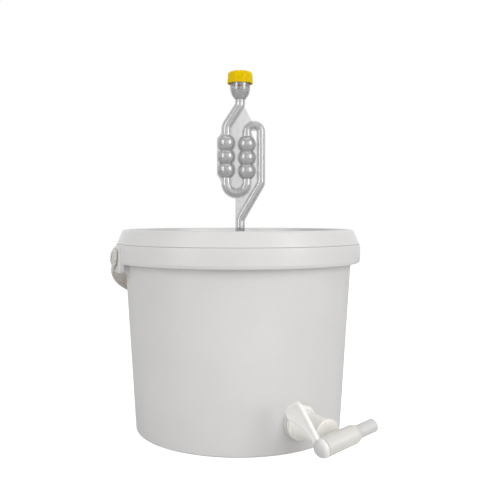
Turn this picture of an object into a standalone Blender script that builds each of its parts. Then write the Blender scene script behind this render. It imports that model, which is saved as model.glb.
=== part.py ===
# Fermentation bucket with a snap lid, a bubbling airlock, a bail handle and a lever tap.
# Metres, +Z up. The bucket stands on z = 0 with its axis at the origin and its front at -Y.

import math

import bmesh
import bpy
from mathutils import Euler, Matrix, Vector

MM = 0.001

# Fits
GAP = 0.3 * MM                     # between pieces that rest on or fit round each other
OVERRUN = 1.0 * MM                 # how far a cut runs past the face it opens

# Bucket
RIM_HEIGHT = 179.5 * MM
BASE_RADIUS = 94.8 * MM            # outside, at the floor
RIM_FLARE = 10.8 * MM              # radius gained from the floor to the rim
WALL = 2.0 * MM
FLOOR = 2.4 * MM
BASE_FILLET = 2.0 * MM
FLOOR_FILLET = 4.0 * MM
SKIRT_REACH = 6.9 * MM             # from the rim's outside to the skirt's
SKIRT_BELOW_RIM = 9.2 * MM
SKIRT_DEPTH = 16.8 * MM
SKIRT_WALL = 2.0 * MM
SKIRT_EDGE = 0.9 * MM

# Handle ears on the skirt
PIVOT_TURN = math.radians(20)      # the pivots' line, turned about the bucket's axis
PIVOT_BELOW_SKIRT_TOP = 10.0 * MM
EAR_WIDTH = 24.0 * MM
EAR_DROP = 8.0 * MM                # how far an ear hangs below the skirt
EAR_HEAD = 1.5 * MM                # how far an ear stays below the skirt's top
EAR_PROUD = 1.0 * MM
EAR_WALL = 4.2 * MM
EAR_CORNER = 5.0 * MM
GUSSET_SPACING = 15.0 * MM
GUSSET_WALL = 2.0 * MM
GUSSET_DROP = 11.0 * MM

# Handle
PEG_RADIUS = 3.5 * MM
PEG_REACH = 6.0 * MM
HUB_RADIUS = 6.0 * MM
HUB_WALL = 2.6 * MM
STRAP_WIDTH = 15.0 * MM
STRAP_THICKNESS = 2.6 * MM
STRAP_FLARE = 1.4 * MM             # how far the strap bows out past its hubs
STRAP_CHANNEL_WIDTH = 8.5 * MM
STRAP_CHANNEL_DEPTH = 0.7 * MM
FLARE_ANGLE = math.radians(14)

# Lid
LID_PARTING = 0.6 * MM             # seam between the lid's lip and the skirt
LID_RISE = 3.8 * MM                # crest above the bucket's rim
LID_LIP_INSET = 0.9 * MM           # lip inside the skirt's radius
LID_LIP_HEIGHT = 3.5 * MM
LID_LIP_SLOPE = 1.5 * MM
LID_SHOULDER_SLOPE = 4.1 * MM
LID_SHOULDER_DROP = 3.2 * MM
LID_CREST_SLOPE = 5.3 * MM
LID_CREST_WIDTH = 4.5 * MM
LID_WALL = 1.8 * MM
LID_PANEL_DROP = 5.2 * MM
LID_PLUG_DEPTH = 8.8 * MM
LID_PLUG_WALL = 1.8 * MM
LID_PLUG_CLEARANCE = 0.5 * MM
LID_CHANNEL_CLEARANCE = 0.9 * MM

# Seals
GASKET_HEIGHT = 1.2 * MM
GROMMET_GRIP = 1.6 * MM            # rubber between the stem and the lid's hole
GROMMET_FLANGE = 2.2 * MM
GROMMET_REACH = 2.6 * MM           # flange past the edge of the hole

# Airlock: one tube from the stem's foot to the cup, flat in the XZ plane
AIRLOCK_OFFSET = 2.0 * MM          # from the bucket's axis, towards +X
STEM_RADIUS = 4.4 * MM
STEM_BELOW_LID = 9.0 * MM
STEM_RISE = 9.7 * MM               # from the lid's crest to the first bend
SLANT_RISE = 33.0 * MM             # from there to the foot of the outer tube
OUTER_TUBE_RADIUS = 4.1 * MM
OUTER_TUBE_CLEARANCE = 0.35 * MM   # beside the bubbles
BUBBLE_RADIUS = 8.75 * MM
BUBBLE_PITCH = 12.35 * MM
COLUMN_CLEARANCE = 1.4 * MM        # between the two columns of bubbles
COLUMN_STEP = 1.0 * MM             # how much higher the left column sits
COLUMN_END_RADIUS = 4.8 * MM
RIGHT_COLUMN_X = 6.1 * MM
TRAP_RAISE = 0.4 * MM              # trap's centre above the outer tube's foot
TRAP_LENGTH = 4.8 * MM             # straight tube from the trap to the left column's lowest bubble
TRAP_RADIUS = 4.9 * MM
ARCH_LENGTH = 3.8 * MM             # straight tube from the right column's top bubble to the arch
UPPER_TUBE_RADIUS = 4.7 * MM
UPPER_TUBE_START = 8.4 * MM        # first bend above the left column's top bubble
UPPER_TUBE_RISE = 19.5 * MM
BEND_RADIUS = 8.0 * MM
CUP_NECK = 5.0 * MM                # from the last bend to the cup's foot
CUP_HEIGHT = 22.5 * MM
CUP_RADIUS = 10.0 * MM
CUP_BOWL_HEIGHT = 8.6 * MM
# rounded bottom of the cup: share of its height, share of the way from the tube's radius to the cup's
CUP_BOWL_SHARES = ((0.256, 0.32), (0.57, 0.642), (1.0, 0.85))
AIRLOCK_WALL = 1.2 * MM
WEB_WALL = 1.8 * MM
WEB_HOLE_MARGIN = 0.3 * MM

# Airlock cap
CAP_CLEARANCE = 0.7 * MM           # between the cup and the cap's skirt
CAP_HEIGHT = 11.3 * MM
CAP_COVER = 7.7 * MM               # how far its skirt hangs below the cup's rim
CAP_WALL = 1.2 * MM
CAP_EDGE = 2.6 * MM
CAP_RIB_WALL = 1.2 * MM
CAP_RIB_SEAT = 1.6 * MM            # how far a rib reaches in over the cup's rim
CAP_RIBS = 4

# Tap: x runs out from the wall, y along the spout, z up
TAP_TURN = math.radians(31.5)      # from the front towards +X
TAP_ROLL = math.radians(10.9)      # the spout points a little up
TAP_TILT = math.radians(0.6)       # the barrel points a little down
TAP_HEIGHT = 26.3 * MM
THREAD_RADIUS = 9.6 * MM
THREAD_CLEARANCE = 0.4 * MM        # round the thread, in the wall, the washers and the nut
THREAD_WALL = 2.6 * MM
THREAD_END = 3.5 * MM              # thread that shows past the nut
NUT_WALL = 6.0 * MM
WASHER_BREADTH = 4.9 * MM          # from the washers' hole to their edge
WASHER_WALL = 1.4 * MM
PAD_INSET = 0.5 * MM               # pad, flange, octagon and nut, inside or past the washers' edge
PAD_PROUD = 0.2 * MM
FLANGE_INSET = 0.2 * MM
FLANGE_WALL = 1.2 * MM
OCTAGON_INSET = 0.3 * MM
NUT_REACH = 0.6 * MM
OCTAGON_WALL = 2.8 * MM
OCTAGON_TURN = math.radians(9.4)
BARREL_RADIUS = 10.6 * MM
BARREL_LENGTH = 30.6 * MM          # from the octagon to the collar's front
CONE_REACH = 1.5 * MM              # root of the barrel on the octagon, past the barrel's radius
CONE_LENGTH = 8.0 * MM
COLLAR_REACH = 0.9 * MM            # past the barrel's radius
COLLAR_WALL = 2.6 * MM
NECK_LENGTH = 15.5 * MM            # from the collar's front to the spout's axis
HOUSING_WALL = 1.8 * MM            # round the wide end of the plug
HOUSING_BACK = 16.6 * MM
HOUSING_FRONT = 15.8 * MM
HOUSING_CHAMFER = 1.4 * MM
HOUSING_CHAMFER_LENGTH = 3.4 * MM
NECK_LEFT = 1.3 * MM               # the neck beside, above and below the barrel's axis
NECK_RIGHT = 10.0 * MM
NECK_TOP = 0.6 * MM
NECK_BOTTOM = 7.2 * MM
NECK_WALL = 1.6 * MM

# Tap lever with its plug and spout
PLUG_RADIUS = 5.75 * MM            # at the lever's end of the housing
PLUG_TAPER = 0.4 * MM              # how much thinner it is at the spout's end
SPOUT_LENGTH = 17.7 * MM           # past the housing
SPOUT_WALL = 1.65 * MM
SPOUT_EDGE = 0.5 * MM
PORT_RADIUS = 3.4 * MM
DOME_LENGTH = 7.6 * MM
DOME_EDGE = 7.0 * MM
LEVER_ANGLE = math.radians(145.4)  # from outwards, over the top, at rest
LEVER_LENGTH = 44.5 * MM
LEVER_WIDTH = 27.0 * MM
LEVER_WALL = 3.2 * MM
LEVER_RIM = 2.6 * MM
LEVER_RECESS = 0.9 * MM
# corners of the lever: share of its length, share of its width, rounding as a share of its width
LEVER_OUTLINE_SHARES = (
    (-0.05, 0.05, 0.0),
    (0.805, 0.555, 0.22),
    (1.01, -0.11, 0.42),
    (0.95, -0.48, 0.17),
    (0.38, -0.02, 0.70),
    (-0.05, -0.27, 0.0),
)

# Roundness
LARGE_STEPS = 64
SMALL_STEPS = 32
CORNER_SEGMENTS = 3
WELD = 0.002 * MM

# Heights, places and radii that follow
SKIRT_RADIUS = BASE_RADIUS + RIM_FLARE + SKIRT_REACH
SKIRT_TOP = RIM_HEIGHT - SKIRT_BELOW_RIM
SKIRT_BOTTOM = SKIRT_TOP - SKIRT_DEPTH
PIVOT_HEIGHT = SKIRT_TOP - PIVOT_BELOW_SKIRT_TOP
EAR_FACE = SKIRT_RADIUS + EAR_PROUD
LID_CREST = RIM_HEIGHT + LID_RISE
LID_PANEL_TOP = LID_CREST - LID_PANEL_DROP
LID_PANEL_BOTTOM = LID_PANEL_TOP - LID_WALL
LID_HOLE = STEM_RADIUS + GROMMET_GRIP + 2 * GAP
STEM_BELOW_CREST = LID_PANEL_DROP + LID_WALL + STEM_BELOW_LID
OUTER_TUBE_FOOT = STEM_RISE + SLANT_RISE
TRAP_CENTRE = OUTER_TUBE_FOOT + TRAP_RAISE
BUBBLE_END = math.sqrt(BUBBLE_RADIUS ** 2 - COLUMN_END_RADIUS ** 2)
LEFT_COLUMN_MIDDLE = TRAP_CENTRE + TRAP_LENGTH + BUBBLE_END + BUBBLE_PITCH
RIGHT_COLUMN_MIDDLE = LEFT_COLUMN_MIDDLE - COLUMN_STEP
LEFT_COLUMN_X = RIGHT_COLUMN_X - COLUMN_CLEARANCE - 2 * BUBBLE_RADIUS
OUTER_TUBE_X = RIGHT_COLUMN_X + BUBBLE_RADIUS + OUTER_TUBE_CLEARANCE + OUTER_TUBE_RADIUS
ARCH_CENTRE = RIGHT_COLUMN_MIDDLE + BUBBLE_PITCH + BUBBLE_END + ARCH_LENGTH
UPPER_TUBE_FOOT = LEFT_COLUMN_MIDDLE + BUBBLE_PITCH + BUBBLE_END + UPPER_TUBE_START
UPPER_TUBE_HEAD = UPPER_TUBE_FOOT + UPPER_TUBE_RISE
CUP_FOOT = UPPER_TUBE_HEAD + CUP_NECK
CUP_RIM_HEIGHT = LID_CREST + CUP_FOOT + CUP_HEIGHT
CAP_RADIUS = CUP_RADIUS + CAP_CLEARANCE + CAP_WALL
HUB_MIDDLE = EAR_FACE + GAP + HUB_WALL / 2
STRAP_RADIUS = HUB_MIDDLE + STRAP_FLARE
WASHER_BORE = THREAD_RADIUS + THREAD_CLEARANCE
WASHER_RADIUS = WASHER_BORE + WASHER_BREADTH
PAD_RADIUS = WASHER_RADIUS - PAD_INSET
BARREL_BORE = THREAD_RADIUS - THREAD_WALL
HOUSING_RADIUS = PLUG_RADIUS + HOUSING_WALL
SPOUT_RADIUS = PLUG_RADIUS - PLUG_TAPER
SPOUT_BORE = SPOUT_RADIUS - SPOUT_WALL
NECK_MIDDLE = (NECK_RIGHT - NECK_LEFT) / 2
WALL_LEAN = math.atan(RIM_FLARE / RIM_HEIGHT)


def wall_radius(height):
    """Outside radius of the tapered wall at a height"""
    return BASE_RADIUS + RIM_FLARE * height / RIM_HEIGHT


def bulge(radius, half_width):
    """Height of an arc of a radius over a chord of twice a half width"""
    return radius - math.sqrt(radius ** 2 - half_width ** 2)


# Faces of the flat pad under the tap, from the wall's outer face where the tap's axis meets it
PAD_LEAN = PAD_RADIUS * math.sin(WALL_LEAN - TAP_TILT)
PAD_FRONT = PAD_LEAN + PAD_PROUD
PAD_BACK = WALL + bulge(wall_radius(TAP_HEIGHT) - WALL, PAD_RADIUS) + PAD_LEAN + PAD_PROUD

# Places along the tap's axis
WASHER_FRONT = PAD_FRONT + GAP + WASHER_WALL + GAP
OCTAGON_BACK = WASHER_FRONT + FLANGE_WALL
OCTAGON_FRONT = OCTAGON_BACK + OCTAGON_WALL
COLLAR_FRONT = OCTAGON_FRONT + BARREL_LENGTH
SPOUT_AXIS = COLLAR_FRONT + NECK_LENGTH
THREAD_LENGTH = PAD_BACK + WASHER_WALL + NUT_WALL + THREAD_END + 2 * GAP


def clear_scene():
    for obj in list(bpy.data.objects):
        bpy.data.objects.remove(obj, do_unlink=True)


def new_collection(name):
    collection = bpy.data.collections.new(name)
    bpy.context.scene.collection.children.link(collection)
    return collection


def new_empty(name, location, rotation=(0, 0, 0), parent=None):
    empty = bpy.data.objects.new(name, None)
    empty.location = location
    empty.rotation_euler = Euler(rotation, "XYZ")
    empty.parent = parent
    PARTS.objects.link(empty)
    return empty


def as_part(obj, colour, roughness, alpha=1.0, metallic=0.0):
    """Give a finished piece its own plastic or rubber material"""
    material = bpy.data.materials.new(obj.name)
    material.use_nodes = True
    shader = material.node_tree.nodes["Principled BSDF"]
    shader.inputs["Base Color"].default_value = (*colour, 1.0)
    shader.inputs["Roughness"].default_value = roughness
    shader.inputs["Metallic"].default_value = metallic
    shader.inputs["Alpha"].default_value = alpha
    obj.data.materials.clear()
    obj.data.materials.append(material)
    return obj


def add_mesh(name, mesh, tool, parent=None, location=(0, 0, 0), rotation=(0, 0, 0)):
    """Put a mesh in the scene as a piece, or as a tool that cuts or joins a piece"""
    obj = bpy.data.objects.new(name, mesh)
    obj.location = location
    obj.rotation_euler = Euler(rotation, "XYZ")
    obj.parent = parent
    if tool:
        obj.hide_render = True
        obj.display_type = "WIRE"
        CUTTERS.objects.link(obj)
    else:
        PARTS.objects.link(obj)
    return obj


def mesh_from(bm, name):
    mesh = bpy.data.meshes.new(name)
    bm.to_mesh(mesh)
    bm.free()
    return mesh


def finish_round(obj):
    obj.data.shade_smooth()
    obj.data.set_sharp_from_angle(angle=math.radians(35))


def rounded(corners, closed=False, segments=CORNER_SEGMENTS):
    """Path through corners (x, z, rounding, *rest), each rounded corner drawn as an arc"""
    path = []
    count = len(corners)
    for index, (x, z, radius, *rest) in enumerate(corners):
        here = Vector((x, z))
        at_end = not closed and index in (0, count - 1)
        if radius <= 0 or at_end:
            path.append((x, z, *rest))
            continue
        back = Vector(corners[index - 1][:2]) - here
        ahead = Vector(corners[(index + 1) % count][:2]) - here
        half = back.angle(ahead) / 2
        reach = min(radius / math.tan(half), back.length, ahead.length)
        radius = reach * math.tan(half)
        back.normalize()
        ahead.normalize()
        centre = here + (back + ahead).normalized() * radius / math.sin(half)
        start = here + back * reach - centre
        end = here + ahead * reach - centre
        sweep = start.angle(end)
        for step in range(segments + 1):
            share = step / segments
            arm = start * math.sin((1 - share) * sweep) + end * math.sin(share * sweep)
            point = centre + arm / math.sin(sweep)
            path.append((point.x, point.y, *rest))
    return without_repeats(path)


def without_repeats(path):
    kept = [path[0]]
    for point in path[1:]:
        if (Vector(point[:2]) - Vector(kept[-1][:2])).length > WELD:
            kept.append(point)
    return kept


def turned(name, profile, closed=False, steps=SMALL_STEPS, tool=False, **place):
    """Piece turned about its own Z axis from a profile (radius, height)"""
    count = len(profile)
    edges = [(i, i + 1) for i in range(count - 1)]
    if closed:
        edges.append((count - 1, 0))
    mesh = bpy.data.meshes.new(name)
    mesh.from_pydata([(x, 0, z) for x, z in profile], edges, [])
    obj = add_mesh(name, mesh, tool, **place)
    screw = obj.modifiers.new("Turn", "SCREW")
    screw.axis = "Z"
    screw.angle = math.tau
    screw.steps = steps
    screw.render_steps = steps
    screw.use_merge_vertices = True
    screw.merge_threshold = WELD
    screw.use_smooth_shade = True
    return obj


def block(name, low, high, tool=True, **place):
    """Box between two corners"""
    bm = bmesh.new()
    bmesh.ops.create_cube(bm, size=1)
    low = Vector(low)
    high = Vector(high)
    bmesh.ops.scale(bm, vec=high - low, verts=bm.verts)
    bmesh.ops.translate(bm, vec=(low + high) / 2, verts=bm.verts)
    return add_mesh(name, mesh_from(bm, name), tool, **place)


def rod(name, radius, low, high, sides=SMALL_STEPS, turn=0.0, tool=True, **place):
    """Round or many-sided bar along its own Z axis"""
    bm = bmesh.new()
    bmesh.ops.create_cone(
        bm, cap_ends=True, segments=sides, radius1=radius, radius2=radius, depth=high - low
    )
    bmesh.ops.rotate(bm, matrix=Matrix.Rotation(turn, 3, "Z"), verts=bm.verts)
    bmesh.ops.translate(bm, vec=(0, 0, (low + high) / 2), verts=bm.verts)
    return add_mesh(name, mesh_from(bm, name), tool, **place)


def solid_from_curve(curve, name, turn=Matrix()):
    """Closed mesh of a curve, with its caps welded and its points turned by a matrix"""
    carrier = bpy.data.objects.new(name, curve)
    bpy.context.scene.collection.objects.link(carrier)
    bpy.context.view_layer.update()
    evaluated = carrier.evaluated_get(bpy.context.evaluated_depsgraph_get())
    mesh = bpy.data.meshes.new_from_object(evaluated)
    mesh.transform(turn @ carrier.matrix_world)
    bpy.data.objects.remove(carrier, do_unlink=True)
    bm = bmesh.new()
    bm.from_mesh(mesh)
    bmesh.ops.remove_doubles(bm, verts=bm.verts, dist=WELD)
    bmesh.ops.recalc_face_normals(bm, faces=bm.faces)
    bm.to_mesh(mesh)
    bm.free()
    mesh.name = name
    return mesh


def add_spline(curve, points, closed):
    spline = curve.splines.new("POLY")
    spline.points.add(len(points) - 1)
    spline.use_cyclic_u = closed
    for target, point in zip(spline.points, points):
        target.co = (*point[:3], 1)
    return spline


def plate(name, outlines, thickness, turn=Matrix(), tool=True, **place):
    """Flat plate with outlines drawn in its own XY plane, half its thickness on either side"""
    curve = bpy.data.curves.new(name, "CURVE")
    curve.dimensions = "2D"
    curve.fill_mode = "BOTH"
    curve.extrude = thickness / 2
    for outline in outlines:
        add_spline(curve, [(x, y, 0) for x, y in outline], True)
    return add_mesh(name, solid_from_curve(curve, name, turn), tool, **place)


def tube(name, path, sides, tool=True, **place):
    """Tube along points (x, y, z, radius)"""
    curve = bpy.data.curves.new(name, "CURVE")
    curve.dimensions = "3D"
    curve.bevel_depth = STEM_RADIUS
    curve.bevel_resolution = sides // 2 - 2
    curve.use_fill_caps = True
    spline = add_spline(curve, path, False)
    for target, point in zip(spline.points, path):
        target.radius = point[3] / STEM_RADIUS
    return add_mesh(name, solid_from_curve(curve, name), tool, **place)


def combine(target, tool, operation):
    boolean = target.modifiers.new(f"{operation.title()} {tool.name}", "BOOLEAN")
    boolean.operation = operation
    boolean.object = tool


def join(target, *tools):
    for tool in tools:
        combine(target, tool, "UNION")


def cut(target, *tools):
    for tool in tools:
        combine(target, tool, "DIFFERENCE")


def make_bucket():
    roof = SKIRT_TOP - SKIRT_WALL
    corners = [
        (0, FLOOR, 0),
        (wall_radius(FLOOR) - WALL, FLOOR, FLOOR_FILLET),
        (wall_radius(RIM_HEIGHT) - WALL, RIM_HEIGHT, WALL / 3),
        (wall_radius(RIM_HEIGHT), RIM_HEIGHT, WALL / 3),
        (wall_radius(SKIRT_TOP), SKIRT_TOP, 0),
        (SKIRT_RADIUS, SKIRT_TOP, SKIRT_EDGE),
        (SKIRT_RADIUS, SKIRT_BOTTOM, SKIRT_EDGE),
        (SKIRT_RADIUS - SKIRT_WALL, SKIRT_BOTTOM, 0),
        (SKIRT_RADIUS - SKIRT_WALL, roof, 0),
        (wall_radius(roof), roof, 0),
        (wall_radius(0), 0, BASE_FILLET),
        (0, 0, 0),
    ]
    bucket = turned("bucket", rounded(corners, segments=2), steps=LARGE_STEPS)
    for side in (0, 1):
        frame = new_empty(
            f"ear_frame_{side + 1}", (0, 0, PIVOT_HEIGHT), (0, 0, PIVOT_TURN + side * math.pi)
        )
        join(bucket, ear_plate(side + 1, frame))
        for place in (-1, 1):
            join(bucket, gusset(side + 1, place, frame))
        hole = rod(
            f"peg_hole_{side + 1}", PEG_RADIUS + GAP, -EAR_WALL - OVERRUN, OVERRUN,
            parent=frame, location=(EAR_FACE, 0, 0), rotation=(0, math.pi / 2, 0),
        )
        cut(bucket, hole)
    outwards = (0, math.pi / 2, 0)
    join(bucket, rod("tap_pad", PAD_RADIUS, -PAD_BACK, PAD_FRONT, parent=TAP, rotation=outwards))
    hole = rod(
        "tap_hole", WASHER_BORE, -PAD_BACK - OVERRUN, PAD_FRONT + OVERRUN,
        parent=TAP, rotation=outwards,
    )
    cut(bucket, hole)
    finish_round(bucket)
    return as_part(bucket, (0.80, 0.79, 0.77), 0.35)


def ear_plate(number, frame):
    low = SKIRT_BOTTOM - EAR_DROP - PIVOT_HEIGHT
    high = SKIRT_TOP - EAR_HEAD - PIVOT_HEIGHT
    corners = [
        (-EAR_WIDTH / 2, high, 0),
        (-EAR_WIDTH / 2, low, EAR_CORNER),
        (EAR_WIDTH / 2, low, EAR_CORNER),
        (EAR_WIDTH / 2, high, 0),
    ]
    stand = Matrix(((0, 0, 1, EAR_FACE - EAR_WALL / 2), (1, 0, 0, 0), (0, 1, 0, 0), (0, 0, 0, 1)))
    return plate(f"ear_{number}", [rounded(corners, closed=True)], EAR_WALL, stand, parent=frame)


def gusset(number, place, frame):
    """Rib from the wall out to the back of an ear"""
    foot = SKIRT_BOTTOM - GUSSET_DROP
    head = SKIRT_TOP - SKIRT_WALL / 2
    wall_middle = wall_radius(foot) - bulge(wall_radius(foot), GUSSET_SPACING / 2) - WALL / 2
    ear_middle = EAR_FACE - EAR_WALL / 2
    outline = [
        (wall_middle, foot - PIVOT_HEIGHT),
        (wall_middle + WALL, foot - PIVOT_HEIGHT),
        (ear_middle, SKIRT_BOTTOM - EAR_DROP / 2 - PIVOT_HEIGHT),
        (ear_middle, head - PIVOT_HEIGHT),
        (wall_middle, head - PIVOT_HEIGHT),
    ]
    side = place * GUSSET_SPACING / 2
    stand = Matrix(((1, 0, 0, 0), (0, 0, -1, side), (0, 1, 0, 0), (0, 0, 0, 1)))
    tag = "a" if place < 0 else "b"
    return plate(f"gusset_{number}{tag}", [outline], GUSSET_WALL, stand, parent=frame)


def lid_radii():
    """Radii of the lid's lip, lip top, shoulder and crest"""
    lip = SKIRT_RADIUS - LID_LIP_INSET
    return lip, lip - LID_LIP_SLOPE, lip - LID_SHOULDER_SLOPE, lip - LID_CREST_SLOPE


def make_lid():
    lip, lip_top, shoulder, crest = lid_radii()
    rim_outer = wall_radius(RIM_HEIGHT)
    lip_bottom = SKIRT_TOP + LID_PARTING
    roof = RIM_HEIGHT + GASKET_HEIGHT + 2 * GAP
    plug = rim_outer - WALL - LID_PLUG_CLEARANCE
    well = crest - LID_CREST_WIDTH
    channel = rim_outer + LID_CHANNEL_CLEARANCE
    corners = [
        (0, LID_PANEL_TOP, 0),
        (well - LID_WALL / 2, LID_PANEL_TOP, LID_WALL),
        (well, LID_CREST, LID_WALL / 2),
        (crest, LID_CREST, LID_WALL),
        (shoulder, LID_CREST - LID_SHOULDER_DROP, LID_WALL),
        (lip_top, lip_bottom + LID_LIP_HEIGHT, LID_WALL),
        (lip, lip_bottom, 0),
        (lip - LID_WALL, lip_bottom, 0),
        (lip_top - LID_WALL, lip_bottom + LID_LIP_HEIGHT, 0),
        (channel, RIM_HEIGHT - WALL / 2, 0),
        (channel, roof, 0),
        (plug, roof, 0),
        (plug, roof - LID_PLUG_DEPTH, 0),
        (plug - LID_PLUG_WALL, roof - LID_PLUG_DEPTH, 0),
        (plug - LID_PLUG_WALL, LID_PANEL_BOTTOM, 0),
        (0, LID_PANEL_BOTTOM, 0),
    ]
    lid = turned("lid", rounded(corners, segments=2), steps=LARGE_STEPS)
    hole = rod(
        "airlock_hole", LID_HOLE, LID_PANEL_BOTTOM - OVERRUN, LID_PANEL_TOP + OVERRUN,
        location=(AIRLOCK_OFFSET, 0, 0),
    )
    cut(lid, hole)
    finish_round(lid)
    return as_part(lid, (0.80, 0.79, 0.77), 0.35)


def make_lid_gasket():
    rim_outer = wall_radius(RIM_HEIGHT)
    inner = rim_outer - WALL - LID_PLUG_CLEARANCE + GAP
    outer = rim_outer + LID_CHANNEL_CLEARANCE - GAP
    low = RIM_HEIGHT + GAP
    profile = [
        (inner, low + GASKET_HEIGHT),
        (outer, low + GASKET_HEIGHT),
        (outer, low),
        (inner, low),
    ]
    gasket = turned("lid_gasket", profile, closed=True, steps=LARGE_STEPS)
    finish_round(gasket)
    return as_part(gasket, (0.72, 0.70, 0.66), 0.6)


def make_grommet():
    bore = STEM_RADIUS + GAP
    neck = LID_HOLE - GAP
    flange = LID_HOLE + GROMMET_REACH
    top = LID_PANEL_TOP + GAP
    bottom = LID_PANEL_BOTTOM - GAP
    corners = [
        (bore, top + GROMMET_FLANGE, GROMMET_FLANGE / 4),
        (flange, top + GROMMET_FLANGE, GROMMET_FLANGE / 2),
        (flange, top, 0),
        (neck, top, 0),
        (neck, bottom, 0),
        (flange, bottom, 0),
        (flange, bottom - GROMMET_FLANGE, GROMMET_FLANGE / 2),
        (bore, bottom - GROMMET_FLANGE, GROMMET_FLANGE / 4),
    ]
    profile = rounded(corners, closed=True, segments=2)
    grommet = turned(
        "airlock_grommet", profile, closed=True, location=(AIRLOCK_OFFSET, 0, 0)
    )
    finish_round(grommet)
    return as_part(grommet, (0.10, 0.10, 0.10), 0.6)


def bubble_corners(x, middle, upwards):
    """Corners down or up a column of three bubbles, between tubes of its end radius"""
    corners = []
    end = math.asin(COLUMN_END_RADIUS / BUBBLE_RADIUS)
    neck = math.asin(min(BUBBLE_PITCH / 2 / BUBBLE_RADIUS, 1))
    for step in (1, 0, -1):
        centre = middle + step * BUBBLE_PITCH
        top = math.pi / 2 - end if step == 1 else neck
        bottom = math.pi / 2 - end if step == -1 else neck
        for angle in (top, top / 2, 0, -bottom / 2, -bottom):
            height = centre + BUBBLE_RADIUS * math.sin(angle)
            corners.append((x, LID_CREST + height, 0, BUBBLE_RADIUS * math.cos(angle)))
    return corners[::-1] if upwards else corners


def airlock_tube(name, thinner, overrun):
    """The airlock's one long way from the stem's foot to the cup's rim, as a tube"""
    base = LID_CREST
    arch = (OUTER_TUBE_X - RIGHT_COLUMN_X) / 2
    trap = (RIGHT_COLUMN_X - LEFT_COLUMN_X) / 2
    bowl = [
        (0, base + CUP_FOOT + height * CUP_BOWL_HEIGHT, 0,
         UPPER_TUBE_RADIUS + reach * (CUP_RADIUS - UPPER_TUBE_RADIUS))
        for height, reach in CUP_BOWL_SHARES
    ]
    corners = [
        (0, base - STEM_BELOW_CREST - overrun, 0, STEM_RADIUS),
        (0, base + STEM_RISE, BEND_RADIUS, STEM_RADIUS),
        (OUTER_TUBE_X, base + OUTER_TUBE_FOOT, BEND_RADIUS, OUTER_TUBE_RADIUS),
        (OUTER_TUBE_X, base + ARCH_CENTRE + arch, arch, OUTER_TUBE_RADIUS),
        (RIGHT_COLUMN_X, base + ARCH_CENTRE + arch, arch, OUTER_TUBE_RADIUS),
        *bubble_corners(RIGHT_COLUMN_X, RIGHT_COLUMN_MIDDLE, False),
        (RIGHT_COLUMN_X, base + TRAP_CENTRE - trap, trap, TRAP_RADIUS),
        (LEFT_COLUMN_X, base + TRAP_CENTRE - trap, trap, TRAP_RADIUS),
        *bubble_corners(LEFT_COLUMN_X, LEFT_COLUMN_MIDDLE, True),
        (LEFT_COLUMN_X, base + UPPER_TUBE_FOOT, BEND_RADIUS, UPPER_TUBE_RADIUS),
        (0, base + UPPER_TUBE_HEAD, BEND_RADIUS, UPPER_TUBE_RADIUS),
        (0, base + CUP_FOOT, 0, UPPER_TUBE_RADIUS),
        *bowl,
        (0, CUP_RIM_HEIGHT + overrun, 0, CUP_RADIUS),
    ]
    path = [(x, 0, z, radius - thinner) for x, z, radius in rounded(corners, segments=4)]
    return tube(name, path, 12, tool=bool(thinner), location=(AIRLOCK_OFFSET, 0, 0))


def airlock_web():
    """Flat web that ties the tubes together, with the opening under the arch"""
    base = LID_CREST
    trap = (RIGHT_COLUMN_X - LEFT_COLUMN_X) / 2
    trap_x = (RIGHT_COLUMN_X + LEFT_COLUMN_X) / 2
    left_edge = LEFT_COLUMN_X - BUBBLE_RADIUS
    arch_x = (OUTER_TUBE_X + RIGHT_COLUMN_X) / 2
    arch = OUTER_TUBE_X - arch_x
    around = [
        (trap_x + (trap + TRAP_RADIUS / 2) * math.cos(math.radians(turn)),
         base + TRAP_CENTRE + (trap + TRAP_RADIUS / 2) * math.sin(math.radians(turn)))
        for turn in (255, 235, 215, 200)
    ]
    outline = [
        (-STEM_RADIUS, base + STEM_RISE),
        (-STEM_RADIUS, base + TRAP_CENTRE - trap),
        *around,
        (left_edge, base + LEFT_COLUMN_MIDDLE - BUBBLE_PITCH - BUBBLE_RADIUS / 2),
        (left_edge, base + LEFT_COLUMN_MIDDLE + BUBBLE_PITCH + BUBBLE_RADIUS / 2),
        (LEFT_COLUMN_X, base + UPPER_TUBE_FOOT),
        (0, base + UPPER_TUBE_HEAD),
        (STEM_RADIUS, base + UPPER_TUBE_HEAD - UPPER_TUBE_RADIUS / 2),
        (arch_x, base + ARCH_CENTRE + arch),
        (OUTER_TUBE_X, base + ARCH_CENTRE),
        (OUTER_TUBE_X, base + OUTER_TUBE_FOOT),
    ]
    hole_left = RIGHT_COLUMN_X + OUTER_TUBE_RADIUS - WEB_HOLE_MARGIN
    hole_right = OUTER_TUBE_X - OUTER_TUBE_RADIUS + WEB_HOLE_MARGIN
    top_bubble = base + RIGHT_COLUMN_MIDDLE + BUBBLE_PITCH
    hole = [
        (hole_left, base + ARCH_CENTRE + (arch - OUTER_TUBE_RADIUS) / 2),
        (hole_right, base + ARCH_CENTRE + (arch - OUTER_TUBE_RADIUS) / 2),
        (hole_right, top_bubble),
    ]
    stand = Matrix(((1, 0, 0, 0), (0, 0, -1, 0), (0, 1, 0, 0), (0, 0, 0, 1)))
    place = (AIRLOCK_OFFSET, 0, 0)
    return plate("airlock_web", [outline, hole], WEB_WALL, stand, location=place)


def make_airlock_body():
    airlock = airlock_tube("airlock_body", 0, 0)
    join(airlock, airlock_web())
    cut(airlock, airlock_tube("airlock_way", AIRLOCK_WALL, OVERRUN))
    finish_round(airlock)
    return as_part(airlock, (0.86, 0.87, 0.87), 0.12, alpha=0.35)


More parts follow.
